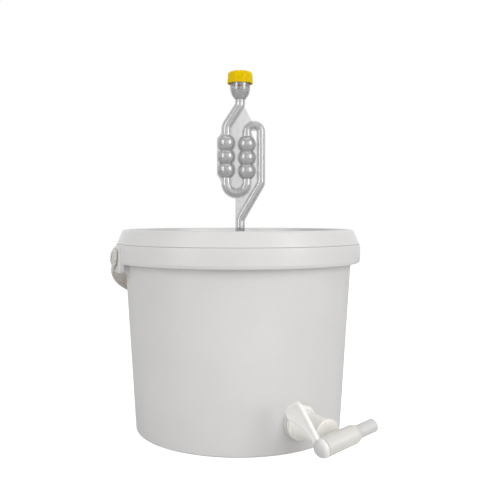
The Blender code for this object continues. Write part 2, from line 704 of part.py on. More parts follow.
def make_airlock_cap():
    bottom = CUP_RIM_HEIGHT - CAP_COVER
    top = bottom + CAP_HEIGHT
    inside = CAP_RADIUS - CAP_WALL
    corners = [
        (0, top, 0),
        (CAP_RADIUS, top, CAP_EDGE),
        (CAP_RADIUS, bottom, 0),
        (inside, bottom, 0),
        (inside, top - CAP_WALL, CAP_EDGE - CAP_WALL),
        (0, top - CAP_WALL, 0),
    ]
    cap = turned("airlock_cap", rounded(corners), location=(AIRLOCK_OFFSET, 0, 0))
    outline = [
        (CUP_RADIUS + GAP, bottom + CAP_WALL),
        (inside + CAP_WALL / 2, bottom + CAP_WALL),
        (inside + CAP_WALL / 2, top - CAP_EDGE),
        (CUP_RADIUS - CAP_RIB_SEAT, top - CAP_WALL / 2),
        (CUP_RADIUS - CAP_RIB_SEAT, CUP_RIM_HEIGHT + GAP),
        (CUP_RADIUS + GAP, CUP_RIM_HEIGHT + GAP),
    ]
    stand = Matrix(((1, 0, 0, 0), (0, 0, -1, 0), (0, 1, 0, 0), (0, 0, 0, 1)))
    for index in range(CAP_RIBS):
        turn = math.tau * (index + 0.5) / CAP_RIBS
        rib = plate(
            f"cap_rib_{index + 1}", [outline], CAP_RIB_WALL, stand,
            location=(AIRLOCK_OFFSET, 0, 0), rotation=(0, 0, turn),
        )
        join(cap, rib)
    finish_round(cap)
    return as_part(cap, (0.86, 0.72, 0.0), 0.35)


def handle_tilt():
    """Angle below level at which the hanging strap's lower edge comes to rest on the wall"""
    inner = STRAP_RADIUS - STRAP_THICKNESS / 2
    edge = STRAP_WIDTH / 2
    tilt = 0.0
    for _ in range(40):
        height = PIVOT_HEIGHT - inner * math.sin(tilt) - edge * math.cos(tilt)
        wanted = wall_radius(height) + GAP + edge * math.sin(tilt)
        tilt = math.acos(min(wanted / inner, 1))
    return tilt


def strap_section():
    """Cross-section of the strap: a flat bar with a channel along its outer face"""
    half = STRAP_WIDTH / 2
    channel = STRAP_CHANNEL_WIDTH / 2
    face = STRAP_THICKNESS / 2
    floor = face - STRAP_CHANNEL_DEPTH
    edge = STRAP_THICKNESS / 6
    corners = [
        (-face, half, edge),
        (-face, -half, edge),
        (face, -half, edge),
        (face, -channel, 0),
        (floor, -channel, 0),
        (floor, channel, 0),
        (face, channel, 0),
        (face, half, edge),
    ]
    return rounded(corners, closed=True, segments=1)


def make_handle():
    tilt = handle_tilt()
    pivot = new_empty("handle_pivot", (0, 0, PIVOT_HEIGHT), (-tilt, 0, PIVOT_TURN))
    section = bpy.data.curves.new("strap_section", "CURVE")
    section.dimensions = "2D"
    add_spline(section, [(x, y, 0) for x, y in strap_section()], True)
    guide = bpy.data.objects.new("strap_section", section)
    guide.hide_render = True
    guide.display_type = "WIRE"
    CUTTERS.objects.link(guide)
    curve = bpy.data.curves.new("handle", "CURVE")
    curve.dimensions = "3D"
    curve.bevel_mode = "OBJECT"
    curve.bevel_object = guide
    curve.use_fill_caps = True
    path = []
    steps = 44
    for step in range(steps + 1):
        angle = math.pi * step / steps
        from_end = min(angle, math.pi - angle)
        flare = math.sin(min(from_end / FLARE_ANGLE, 1) * math.pi / 2)
        radius = HUB_MIDDLE + STRAP_FLARE * flare
        path.append((radius * math.cos(angle), radius * math.sin(angle), 0))
    add_spline(curve, path, False)
    handle = add_mesh("handle", solid_from_curve(curve, "handle"), False, parent=pivot)
    for side in (0, 1):
        turn = (0, math.pi / 2, side * math.pi)
        hub = rod(
            f"handle_hub_{side + 1}", HUB_RADIUS, EAR_FACE + GAP, EAR_FACE + GAP + HUB_WALL,
            parent=pivot, rotation=turn,
        )
        peg = rod(
            f"handle_peg_{side + 1}", PEG_RADIUS, EAR_FACE + GAP - PEG_REACH, HUB_MIDDLE,
            sides=SMALL_STEPS // 2, parent=pivot, rotation=turn,
        )
        join(handle, hub, peg)
    finish_round(handle)
    return as_part(handle, (0.74, 0.73, 0.70), 0.4)


def make_tap_body():
    outwards = (0, math.pi / 2, 0)
    collar = BARREL_RADIUS + COLLAR_REACH
    cone = BARREL_RADIUS + CONE_REACH
    flange = WASHER_RADIUS - FLANGE_INSET
    corners = [
        (0, COLLAR_FRONT, 0),
        (collar, COLLAR_FRONT, COLLAR_WALL / 4),
        (collar, COLLAR_FRONT - COLLAR_WALL, 0),
        (BARREL_RADIUS, COLLAR_FRONT - COLLAR_WALL, 0),
        (BARREL_RADIUS, OCTAGON_FRONT + CONE_LENGTH, 0),
        (cone, OCTAGON_FRONT, 0),
        (cone, OCTAGON_BACK, 0),
        (flange, OCTAGON_BACK, 0),
        (flange, WASHER_FRONT, 0),
        (THREAD_RADIUS, WASHER_FRONT, 0),
        (THREAD_RADIUS, -THREAD_LENGTH, THREAD_CLEARANCE),
        (0, -THREAD_LENGTH, 0),
    ]
    tap = turned("tap_body", rounded(corners, segments=2), parent=TAP, rotation=outwards)
    octagon = rod(
        "tap_octagon", WASHER_RADIUS - OCTAGON_INSET, OCTAGON_BACK - FLANGE_WALL / 2,
        OCTAGON_FRONT, sides=8, turn=OCTAGON_TURN, parent=TAP, rotation=outwards,
    )
    join(tap, octagon)
    neck = block(
        "tap_neck",
        (COLLAR_FRONT - COLLAR_WALL / 2, -NECK_LEFT, -NECK_BOTTOM),
        (SPOUT_AXIS, NECK_RIGHT, NECK_TOP),
        parent=TAP,
    )
    join(tap, neck)
    corners = [
        (0, HOUSING_BACK, 0),
        (HOUSING_RADIUS, HOUSING_BACK, 0),
        (HOUSING_RADIUS, -HOUSING_FRONT + HOUSING_CHAMFER_LENGTH, 0),
        (HOUSING_RADIUS - HOUSING_CHAMFER, -HOUSING_FRONT, 0),
        (0, -HOUSING_FRONT, 0),
    ]
    across = {"parent": TAP, "location": (SPOUT_AXIS, 0, 0), "rotation": (math.pi / 2, 0, 0)}
    join(tap, turned("tap_housing", corner_points(corners), tool=True, **across))
    barrel_bore = rod(
        "barrel_bore", BARREL_BORE, -THREAD_LENGTH - OVERRUN, COLLAR_FRONT - COLLAR_WALL,
        parent=TAP, rotation=outwards,
    )
    passage = block(
        "neck_passage",
        (COLLAR_FRONT - COLLAR_WALL - OVERRUN, -NECK_LEFT + NECK_WALL, -NECK_BOTTOM + NECK_WALL),
        (SPOUT_AXIS, NECK_RIGHT - NECK_WALL, NECK_TOP - NECK_WALL),
        parent=TAP,
    )
    cut(tap, barrel_bore, passage)
    corners = [
        (0, HOUSING_BACK + OVERRUN, 0),
        (plug_radius(-HOUSING_BACK) + GAP, HOUSING_BACK + OVERRUN, 0),
        (plug_radius(HOUSING_FRONT) + GAP, -HOUSING_FRONT - OVERRUN, 0),
        (0, -HOUSING_FRONT - OVERRUN, 0),
    ]
    cut(tap, turned("plug_bore", corner_points(corners), tool=True, **across))
    finish_round(tap)
    return as_part(tap, (0.78, 0.76, 0.71), 0.35)


def corner_points(corners):
    return [(x, z) for x, z, _ in corners]


def plug_radius(reach):
    """Radius of the tapered plug at a place along the spout's axis, inside the housing"""
    share = (reach + HOUSING_BACK) / (HOUSING_FRONT + HOUSING_BACK)
    return PLUG_RADIUS + (SPOUT_RADIUS - PLUG_RADIUS) * share


def lever_outline(inset):
    """Outline of the lever in its own plane: x along it, y across it"""
    corners = [
        (along * LEVER_LENGTH, across * LEVER_WIDTH, edge * LEVER_WIDTH)
        for along, across, edge in LEVER_OUTLINE_SHARES
    ]
    path = [Vector(point) for point in rounded(corners, closed=True, segments=5)]
    if not inset:
        return path
    inner = []
    for index, point in enumerate(path):
        along = (path[(index + 1) % len(path)] - path[index - 1]).normalized()
        moved = point + Vector((along.y, -along.x)) * inset
        if not inner or (moved - inner[-1]).dot(along) > WELD:
            inner.append(moved)
    return inner


def make_tap_lever():
    seat = HOUSING_BACK + GAP
    corners = [
        (0, seat + DOME_LENGTH, 0),
        (HOUSING_RADIUS, seat + DOME_LENGTH, DOME_EDGE),
        (HOUSING_RADIUS, seat, 0),
        (PLUG_RADIUS, seat, 0),
        (SPOUT_RADIUS, -HOUSING_FRONT, 0),
        (SPOUT_RADIUS, -HOUSING_FRONT - SPOUT_LENGTH, SPOUT_EDGE),
        (SPOUT_BORE, -HOUSING_FRONT - SPOUT_LENGTH, SPOUT_EDGE),
        (SPOUT_BORE, PORT_RADIUS - NECK_MIDDLE, 0),
        (0, PORT_RADIUS - NECK_MIDDLE, 0),
    ]
    pivot = new_empty("tap_pivot", (SPOUT_AXIS, 0, 0), parent=TAP)
    across = {"parent": pivot, "rotation": (math.pi / 2, 0, 0)}
    lever = turned("tap_lever", rounded(corners, segments=4), **across)
    turn = Matrix.Rotation(LEVER_ANGLE, 4, "Z")
    swing = Matrix(((1, 0, 0, 0), (0, 0, -1, -seat - LEVER_WALL / 2), (0, 1, 0, 0), (0, 0, 0, 1)))
    flip = Matrix.Diagonal((1, -1, 1, 1))
    paddle = plate("lever_paddle", [lever_outline(0)], LEVER_WALL, swing @ turn @ flip, parent=pivot)
    join(lever, paddle)
    recess_place = Matrix.Translation((0, -LEVER_WALL + LEVER_RECESS / 2, 0))
    outline = [p for p in lever_outline(LEVER_RIM) if p.x > HOUSING_RADIUS + LEVER_RIM / 2]
    recess = plate(
        "lever_recess", [outline], LEVER_RECESS + LEVER_WALL, recess_place @ swing @ turn @ flip,
        parent=pivot,
    )
    cut(lever, recess)
    port = rod(
        "plug_port", PORT_RADIUS, -HOUSING_RADIUS, 0,
        sides=SMALL_STEPS // 2, parent=pivot, location=(0, NECK_MIDDLE, 0),
    )
    cut(lever, port)
    finish_round(lever)
    return as_part(lever, (0.82, 0.82, 0.81), 0.3)


def washer(name, radius, low, thickness, colour):
    corners = [
        (WASHER_BORE, low + thickness),
        (radius, low + thickness),
        (radius, low),
        (WASHER_BORE, low),
    ]
    ring = turned(name, corners, closed=True, parent=TAP, rotation=(0, math.pi / 2, 0))
    finish_round(ring)
    return as_part(ring, colour, 0.6)


def make_tap_fittings():
    washer("tap_outer_washer", WASHER_RADIUS, PAD_FRONT + GAP, WASHER_WALL, (0.55, 0.54, 0.52))
    inner_face = -PAD_BACK - GAP
    washer("tap_inner_washer", WASHER_RADIUS, inner_face - WASHER_WALL, WASHER_WALL, (0.55, 0.54, 0.52))
    nut_face = inner_face - WASHER_WALL - GAP
    outwards = (0, math.pi / 2, 0)
    nut = rod(
        "tap_locknut", WASHER_RADIUS + NUT_REACH, nut_face - NUT_WALL, nut_face,
        sides=6, tool=False, parent=TAP, rotation=outwards,
    )
    bore = rod(
        "nut_bore", WASHER_BORE, nut_face - NUT_WALL - OVERRUN, nut_face + OVERRUN,
        parent=TAP, rotation=outwards,
    )
    cut(nut, bore)
    finish_round(nut)
    return as_part(nut, (0.80, 0.79, 0.77), 0.35)


clear_scene()
PARTS = new_collection("fermentation_bucket")
CUTTERS = new_collection("cutters")
tap_azimuth = TAP_TURN - math.pi / 2
tap_foot = wall_radius(TAP_HEIGHT)
TAP = new_empty(
    "tap_frame",
    (tap_foot * math.cos(tap_azimuth), tap_foot * math.sin(tap_azimuth), TAP_HEIGHT),
    (TAP_ROLL, TAP_TILT, tap_azimuth),
)
make_bucket()
make_lid()
make_lid_gasket()
make_grommet()
make_airlock_body()
make_airlock_cap()
make_handle()
make_tap_body()
make_tap_lever()
make_tap_fittings()
bpy.context.view_layer.update()
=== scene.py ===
import math

import bmesh
import bpy
import numpy as np
from mathutils import Euler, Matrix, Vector


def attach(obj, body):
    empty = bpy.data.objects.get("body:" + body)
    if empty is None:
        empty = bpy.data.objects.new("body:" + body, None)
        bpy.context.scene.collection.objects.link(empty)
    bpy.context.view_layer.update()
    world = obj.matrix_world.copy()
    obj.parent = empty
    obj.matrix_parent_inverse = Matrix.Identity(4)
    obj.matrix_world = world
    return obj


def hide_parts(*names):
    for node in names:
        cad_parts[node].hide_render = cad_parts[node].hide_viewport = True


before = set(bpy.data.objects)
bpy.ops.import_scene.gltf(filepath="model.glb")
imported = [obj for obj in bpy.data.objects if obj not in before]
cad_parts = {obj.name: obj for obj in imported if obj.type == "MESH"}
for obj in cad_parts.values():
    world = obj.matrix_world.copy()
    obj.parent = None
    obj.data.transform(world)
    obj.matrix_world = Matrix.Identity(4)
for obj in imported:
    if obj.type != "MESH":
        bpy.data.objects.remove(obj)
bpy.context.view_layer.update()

unit = 0.001          # lengths below are millimetres, meshes are metres
fitGap = 0.3          # between pieces that rest on or fit round each other
overrun = 1.0         # how far a cut runs past the face it opens
identity = (np.eye(3), np.zeros(3))


# Shapes from grids

# Path through corners; the third number of each is its rounding, an arc that touches both its sides
def cornerPath(corners, arcPoints=8, closed=False):
    corners = np.array(corners, float)
    pieces = []
    last = len(corners) - 1
    for index, (a, b, rounding) in enumerate(corners):
        here = np.array([a, b])
        if rounding <= 0 or (not closed and index in (0, last)):
            pieces.append(here[None])
            continue
        back = corners[index - 1, :2] - here
        ahead = corners[(index + 1) % (last + 1), :2] - here
        backLength, aheadLength = np.linalg.norm(back), np.linalg.norm(ahead)
        back, ahead = back / backLength, ahead / aheadLength
        half = np.arccos(np.clip(back @ ahead, -1, 1)) / 2
        reach = min(rounding / np.tan(half), backLength, aheadLength)
        middle = back + ahead
        centre = here + middle / np.linalg.norm(middle) * reach / np.cos(half)
        start, end = here + back * reach - centre, here + ahead * reach - centre
        sweep = math.pi - 2 * half
        share = np.linspace(0, 1, arcPoints + 1)[:, None]
        arc = (start * np.sin((1 - share) * sweep) + end * np.sin(share * sweep)) / np.sin(sweep)
        pieces.append(centre + arc)
    path = np.concatenate(pieces)
    fresh = np.linalg.norm(np.diff(path, axis=0, prepend=path[:1] - 1), axis=1) > 1e-4
    return path[fresh]


# The same path with more points: every side longer than the spacing is cut into equal steps
def evenly(path, spacing, closed=False):
    ends = np.roll(path, -1, axis=0) if closed else path[1:]
    starts = path if closed else path[:-1]
    steps = np.maximum(1, np.ceil(np.linalg.norm(ends - starts, axis=1) / spacing)).astype(int)
    runs = [a + (b - a) * np.arange(n)[:, None] / n for a, b, n in zip(starts, ends, steps)]
    return np.concatenate(runs if closed else runs + [path[-1:]])


# Closed outline moved inwards along its own normals; it runs anticlockwise
def inset(outline, distance):
    along = np.roll(outline, -1, axis=0) - np.roll(outline, 1, axis=0)
    along /= np.linalg.norm(along, axis=1, keepdims=True)
    return outline + np.stack([-along[:, 1], along[:, 0]], axis=1) * distance


# Each profile point (radius, height) goes once round the Z axis, as one ring
def turnedRings(profile, steps=128):
    turn = np.linspace(0, 2 * np.pi, steps, endpoint=False)
    radius, height = profile[:, :1], profile[:, 1:2]
    return np.stack([radius * np.cos(turn), radius * np.sin(turn), height + 0 * turn], axis=-1)


# The same rings turned about the X axis
def aboutX(rings):
    return rings[..., [2, 0, 1]]


# Rings drawn in the XY plane stood up: y becomes z, height runs towards -y
def upright(rings):
    return np.stack([rings[..., 0], -rings[..., 2], rings[..., 1]], axis=-1)


# Profile of a straight rod from one height to another
def rod(radius, low, high):
    return np.array([(0, low), (radius, low), (radius, high), (0, high)], float)


# One flat outline repeated at levels (inset, height), from low to high
def stackedRings(outline, levels):
    rows = [np.column_stack([inset(outline, step), np.full(len(outline), height)]) for step, height in levels]
    return np.stack(rows)


# Levels (inset, rise) round an edge of a size, from its flat face to its side
def easedEdge(size):
    return [(size * (1 - math.sin(a)), size * (1 - math.cos(a))) for a in np.linspace(0, np.pi / 2, 5)]


# Circles of a radius that varies along a path in the XZ plane, square to the path
def tubeRings(path, radius, sides):
    along = np.gradient(path, axis=0)
    along /= np.linalg.norm(along, axis=1, keepdims=True)
    across = np.stack([along[:, 1], -along[:, 0]], axis=1)
    turn = np.linspace(0, 2 * np.pi, sides, endpoint=False)
    flat = path[:, None] + across[:, None] * (radius[:, None] * np.cos(turn))[..., None]
    return np.stack([flat[..., 0], radius[:, None] * np.sin(turn), flat[..., 1]], axis=-1)


# Points turned by a matrix, then moved by an origin
def placed(rings, place):
    turn, origin = place
    return rings @ turn.T + origin


# Closed body of stacked rings: quads between neighbours, and a face over each end or a loop
def bodyFrom(name, rings, place=identity, loop=False, caps=True):
    rows, columns = rings.shape[:2]
    index = np.arange(rows * columns).reshape(rows, columns)
    lower = index if loop else index[:-1]
    upper = np.roll(index, -1, axis=0) if loop else index[1:]
    quads = np.stack([lower, np.roll(lower, -1, 1), np.roll(upper, -1, 1), upper], axis=-1)
    faces = quads.reshape(-1, 4).tolist()
    if caps and not loop:
        faces += [index[0, ::-1].tolist(), index[-1].tolist()]
    mesh = bpy.data.meshes.new(name)
    mesh.from_pydata((placed(rings, place) * unit).reshape(-1, 3), [], faces)
    return weldedObject(name, mesh)


# The mesh with its doubled points joined and its faces outward
def welded(mesh):
    bm = bmesh.new()
    bm.from_mesh(mesh)
    bmesh.ops.remove_doubles(bm, verts=bm.verts, dist=1e-7)
    bmesh.ops.dissolve_degenerate(bm, edges=bm.edges, dist=1e-8)
    bmesh.ops.recalc_face_normals(bm, faces=bm.faces)
    if bm.calc_volume(signed=True) < 0:
        bmesh.ops.reverse_faces(bm, faces=bm.faces)
    bm.to_mesh(mesh)
    bm.free()
    return mesh


# Profile turned about its place's x axis, as a body
def turnedBody(name, profile, steps, place, shift=(0, 0, 0)):
    return bodyFrom(name, aboutX(turnedRings(profile, steps)) + np.array(shift), place, caps=False)


# Object of a welded mesh, linked to the scene
def weldedObject(name, mesh):
    piece = bpy.data.objects.new(name, welded(mesh))
    bpy.context.scene.collection.objects.link(piece)
    return piece


# Flat plate from outlines drawn in its own XY plane, half its thickness on either side
def flatPlate(name, outlines, thickness, place):
    curve = bpy.data.curves.new(name, "CURVE")
    curve.dimensions = "2D"
    curve.fill_mode = "BOTH"
    curve.extrude = thickness / 2
    for outline in outlines:
        spline = curve.splines.new("POLY")
        spline.points.add(len(outline) - 1)
        points = np.column_stack([outline, np.zeros(len(outline)), np.ones(len(outline))])
        spline.points.foreach_set("co", points.ravel())
        spline.use_cyclic_u = True
    carrier = bpy.data.objects.new(name, curve)
    bpy.context.scene.collection.objects.link(carrier)
    bpy.context.view_layer.update()
    mesh = bpy.data.meshes.new_from_object(carrier.evaluated_get(bpy.context.evaluated_depsgraph_get()))
    bpy.data.objects.remove(carrier)
    points = np.empty(len(mesh.vertices) * 3)
    mesh.vertices.foreach_get("co", points)
    mesh.vertices.foreach_set("co", (placed(points.reshape(-1, 3), place) * unit).ravel())
    return weldedObject(name, mesh)


# Bodies joined onto a body, then others cut away, as one closed mesh
def fused(body, joins=(), cuts=()):
    for tool, operation in [(t, "UNION") for t in joins] + [(t, "DIFFERENCE") for t in cuts]:
        step = body.modifiers.new(tool.name, "BOOLEAN")
        step.operation = operation
        step.object = tool
    bpy.context.view_layer.update()
    mesh = bpy.data.meshes.new_from_object(body.evaluated_get(bpy.context.evaluated_depsgraph_get()))
    body.modifiers.clear()
    body.data = welded(mesh)
    for tool in [*joins, *cuts]:
        bpy.data.objects.remove(tool)


# Smooth shading that stays sharp past an angle, the finish, and the node that the piece stands for
def finishPiece(piece, body, nodes, material, sharp=32):
    piece.data.materials.clear()
    piece.data.materials.append(material)
    piece.data.shade_smooth()
    piece.data.set_sharp_from_angle(angle=math.radians(sharp))
    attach(piece, body)
    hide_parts(*nodes)


# Materials

# A shader value that can be reckoned with in plain sums
class Field:
    def __init__(self, nodes, socket):
        self.nodes, self.socket = nodes, socket

    # One sum as a node
    def reckon(self, operation, *values):
        inputs = dict(enumerate(v.socket if isinstance(v, Field) else v for v in values))
        node = self.nodes.node("Math", {"operation": operation}, inputs)
        return Field(self.nodes, node.outputs[0])

    def __add__(self, other): return self.reckon("ADD", self, other)
    def __radd__(self, other): return self.reckon("ADD", other, self)
    def __sub__(self, other): return self.reckon("SUBTRACT", self, other)
    def __rsub__(self, other): return self.reckon("SUBTRACT", other, self)
    def __mul__(self, other): return self.reckon("MULTIPLY", self, other)
    def __rmul__(self, other): return self.reckon("MULTIPLY", other, self)
    def __pow__(self, other): return self.reckon("POWER", self, other)

    # Eases from 0 at low to 1 at high
    def between(self, low, high):
        settings = {"interpolation_type": "SMOOTHSTEP"}
        inputs = {"Value": self.socket, "From Min": low, "From Max": high}
        return Field(self.nodes, self.nodes.node("MapRange", settings, inputs).outputs[0])


# Nodes of a material or the world
class Nodes:
    def __init__(self, tree):
        self.tree = tree
        tree.nodes.clear()

    # A node with its settings and inputs; fields and sockets are linked
    def node(self, kind, settings=None, inputs=None):
        node = self.tree.nodes.new("ShaderNode" + kind)
        for key, value in (settings or {}).items():
            setattr(node, key, value)
        for key, value in (inputs or {}).items():
            value = value.socket if isinstance(value, Field) else value
            if isinstance(value, bpy.types.NodeSocket):
                self.tree.links.new(value, node.inputs[key])
            else:
                node.inputs[key].default_value = value
        return node


# One material's nodes
class Finish(Nodes):
    def __init__(self, name):
        self.material = bpy.data.materials.new(name)
        self.material.use_nodes = True
        super().__init__(self.material.node_tree)
        self.place = self.node("TexCoord").outputs["Object"]

    # Soft noise with features of a size in millimetres, from about 0 to 1
    def noise(self, size, detail, roughness=0.5):
        inputs = {"Vector": self.place, "Scale": 1 / (size * unit), "Detail": detail, "Roughness": roughness}
        return Field(self, self.node("TexNoise", None, inputs).outputs["Fac"])

    # Place along an axis in millimetres
    def axis(self, letter):
        split = self.node("SeparateXYZ", None, {0: self.place})
        return Field(self, split.outputs[letter]) * (1 / unit)

    def vectorMath(self, operation, first, second, output="Vector"):
        inputs = {0: first, 1: second}
        return self.node("VectorMath", {"operation": operation}, inputs).outputs[output]

    # How far a place lies along a line from its origin, in millimetres
    def alongLine(self, origin, direction):
        start = self.vectorMath("SUBTRACT", self.place, tuple(origin * unit))
        return Field(self, self.vectorMath("DOT_PRODUCT", start, tuple(direction / unit), "Value"))

    # How far a place lies from a line, in millimetres
    def fromLine(self, origin, direction):
        start = self.vectorMath("SUBTRACT", self.place, tuple(origin * unit))
        across = self.vectorMath("CROSS_PRODUCT", start, tuple(direction / unit))
        return Field(self, self.vectorMath("LENGTH", across, (0, 0, 0), "Value"))

    # Colour between two colours
    def blend(self, share, first, second):
        inputs = {"Factor": share, 6: colour4(first), 7: colour4(second)}
        return self.node("Mix", {"data_type": "RGBA"}, inputs).outputs[2]

    # Normal of a relief with a depth in millimetres
    def bump(self, field, depth):
        inputs = {"Height": field, "Distance": depth * unit, "Strength": 1.0}
        return self.node("Bump", None, inputs).outputs[0]

    def plastic(self, inputs):
        return self.node("BsdfPrincipled", None, inputs).outputs[0]

    def done(self, shader):
        self.node("OutputMaterial", None, {"Surface": shader})
        return self.material


# Colour with its fourth value; a socket stays as it is
def colour4(colour):
    return colour if isinstance(colour, bpy.types.NodeSocket) else (*colour, 1.0)


# Screen colour, 0 to 255, as a light value
def linear(*rgb):
    share = np.array(rgb) / 255
    return tuple(float(c) for c in np.where(share > 0.04045, ((share + 0.055) / 1.055) ** 2.4, share / 12.92))


# Moulded plastic: faint clouds in its colour, uneven sheen and a fine skin; where a mask is given, a paler
# colour is painted in over it as painted light
def mouldedPlastic(name, look, paintedLight=None):
    finish = Finish(name)
    cloud = finish.noise(look["cloudSize"], 3.0)
    fleck = finish.noise(look["fleckSize"], 4.0, 0.65)
    skin = finish.noise(look["skinSize"], 2.0)
    wave = finish.noise(look["waveSize"], 1.0)
    tone = (cloud * look["cloudShare"] + fleck * (1 - look["cloudShare"])).between(*look["toneRange"])
    colour = finish.blend(tone, linear(*look["dark"]), linear(*look["light"]))
    # painted light: the paler colour laid in where the mask is 1
    if paintedLight:
        colour = finish.blend(paintedLight(finish), colour, linear(*look["paintedLightColour"]))
    sheen = look["roughness"] + (cloud - 0.5) * look["sheenChange"] + (fleck - 0.5) * look["sheenChange"]
    relief = skin * look["skinDepth"] + wave * look["waveDepth"]
    return finish.done(finish.plastic({
        "Base Color": colour, "Roughness": sheen, "Normal": finish.bump(relief, 1.0),
        "IOR": look["ior"], "Specular IOR Level": look["shine"], "Subsurface Weight": look["glow"],
        "Subsurface Radius": (1.0, 0.9, 0.8), "Subsurface Scale": look["glowDepth"] * unit,
    }))


# Clear moulded plastic: it lets the background through and keeps a gloss; painted shade greys it towards its
# outlines and over a given mask, standing in for the dark surroundings seen in it
def clearPlastic(name, look, paintedShade):
    finish = Finish(name)
    flow = finish.noise(look["flowSize"], 3.0, 0.6)
    ripple = finish.noise(look["rippleSize"], 1.0)
    normal = finish.bump(ripple, look["rippleDepth"])
    # painted shade: denser and greyer towards the outlines, for the dark surroundings seen at grazing angles
    facing = finish.node("LayerWeight", None, {"Blend": 0.5, "Normal": normal})
    edge = Field(finish, facing.outputs["Facing"])
    rim = (edge ** look["rimPower"]) * look["rim"]
    density = look["thin"] + edge.between(*look["sideRange"]) * look["sides"] + rim
    # painted shade over the bubbles and the stem, from the given mask
    density = density + paintedShade(finish) * look["paintedShade"] + (flow - 0.5) * look["flowChange"]
    tint = finish.blend(edge.between(*look["tintRange"]), linear(*look["face"]), linear(*look["outline"]))
    solid = finish.plastic({
        "Base Color": tint, "Roughness": look["roughness"], "Normal": normal, "IOR": look["ior"],
    })
    clear = finish.node("BsdfTransparent").outputs[0]
    body = finish.node("MixShader", None, {0: density, 1: clear, 2: solid}).outputs[0]
    polish = {"Roughness": look["gloss"], "Normal": normal}
    gloss = finish.node("BsdfGlossy", None, polish).outputs[0]
    shine = look["shine"] + (flow - 0.5) * look["shineChange"]
    return finish.done(finish.node("MixShader", None, {0: shine, 1: body, 2: gloss}).outputs[0])


# Bucket

whiteLook = {
    "light": (217, 216, 215), "dark": (212, 211, 210), "roughness": 0.36, "sheenChange": 0.08,
    "cloudSize": 60, "fleckSize": 3.0, "skinSize": 0.5, "skinDepth": 0.004, "waveSize": 25,
    "waveDepth": 0.05, "shine": 0.5, "glow": 0.0, "glowDepth": 2.0, "cloudShare": 0.7,
    "toneRange": (0.3, 0.7), "ior": 1.49,
}
bucketSizes = {
    "baseRadius": 94.8, "rimFlare": 10.8, "rimHeight": 179.5, "wall": 2.0, "floor": 2.4, "baseFillet": 2.0,
    "floorFillet": 4.0, "skirtRadius": 112.5, "skirtTop": 170.3, "skirtBottom": 153.5, "skirtWall": 2.0,
    "skirtEdge": 0.9, "skirtFoot": 2.7, "steps": 320,
}
earSizes = {
    "turn": 20, "height": 160.3, "face": 113.5, "wall": 4.2, "width": 24.0, "drop": 8.0, "head": 1.5,
    "corner": 5.0, "edge": 0.6, "gussetSpacing": 15.0, "gussetWall": 2.0, "gussetDrop": 11.0,
    "gussetSink": 0.5, "pegHole": 3.8,
}


# Outside radius of the tapered wall at a height
def wallRadius(height):
    return bucketSizes["baseRadius"] + bucketSizes["rimFlare"] * height / bucketSizes["rimHeight"]


# An ear's own axes: x runs out through its peg, at a turn about Z and a height
def earPlace(side):
    turn = math.radians(earSizes["turn"]) + side * math.pi
    return np.array(Euler((0, 0, turn)).to_matrix()), np.array([0, 0, earSizes["height"]])


# Flat plate with round lower corners that hangs below the band, its edges eased
def earPlate(side):
    s, b = earSizes, bucketSizes
    low = b["skirtBottom"] - s["drop"] - s["height"]
    high = b["skirtTop"] - s["head"] - s["height"]
    half = s["width"] / 2
    corners = [(-half, high, s["edge"]), (-half, low, s["corner"]), (half, low, s["corner"]),
               (half, high, s["edge"])]
    outline = evenly(cornerPath(corners, 10, True), 2.0, True)
    levels = [(0, 0), *((step, s["wall"] - rise) for step, rise in easedEdge(s["edge"])[::-1])]
    rings = stackedRings(outline, levels)
    rings = np.stack([rings[..., 2] + s["face"] - s["wall"], rings[..., 0], rings[..., 1]], axis=-1)
    return bodyFrom(f"ear{side}", rings, earPlace(side))


# Rib from the wall out to the back of an ear
def gusset(side, place):
    s, b = earSizes, bucketSizes
    foot = b["skirtBottom"] - s["gussetDrop"]
    wallMiddle = wallRadius(foot) - s["gussetSink"] - b["wall"] / 2
    earMiddle = s["face"] - s["wall"] / 2
    head = b["skirtTop"] - b["skirtWall"] / 2 - s["height"]
    outline = np.array([
        (wallMiddle, foot - s["height"]), (wallMiddle + b["wall"], foot - s["height"]),
        (earMiddle, b["skirtBottom"] - s["drop"] / 2 - s["height"]), (earMiddle, head),
        (wallMiddle, head),
    ])
    rings = stackedRings(outline, [(0, -s["gussetWall"] / 2), (0, s["gussetWall"] / 2)])
    rings = upright(rings) + np.array([0, place * s["gussetSpacing"] / 2, 0])
    return bodyFrom(f"gusset{side}{place}", rings, earPlace(side))


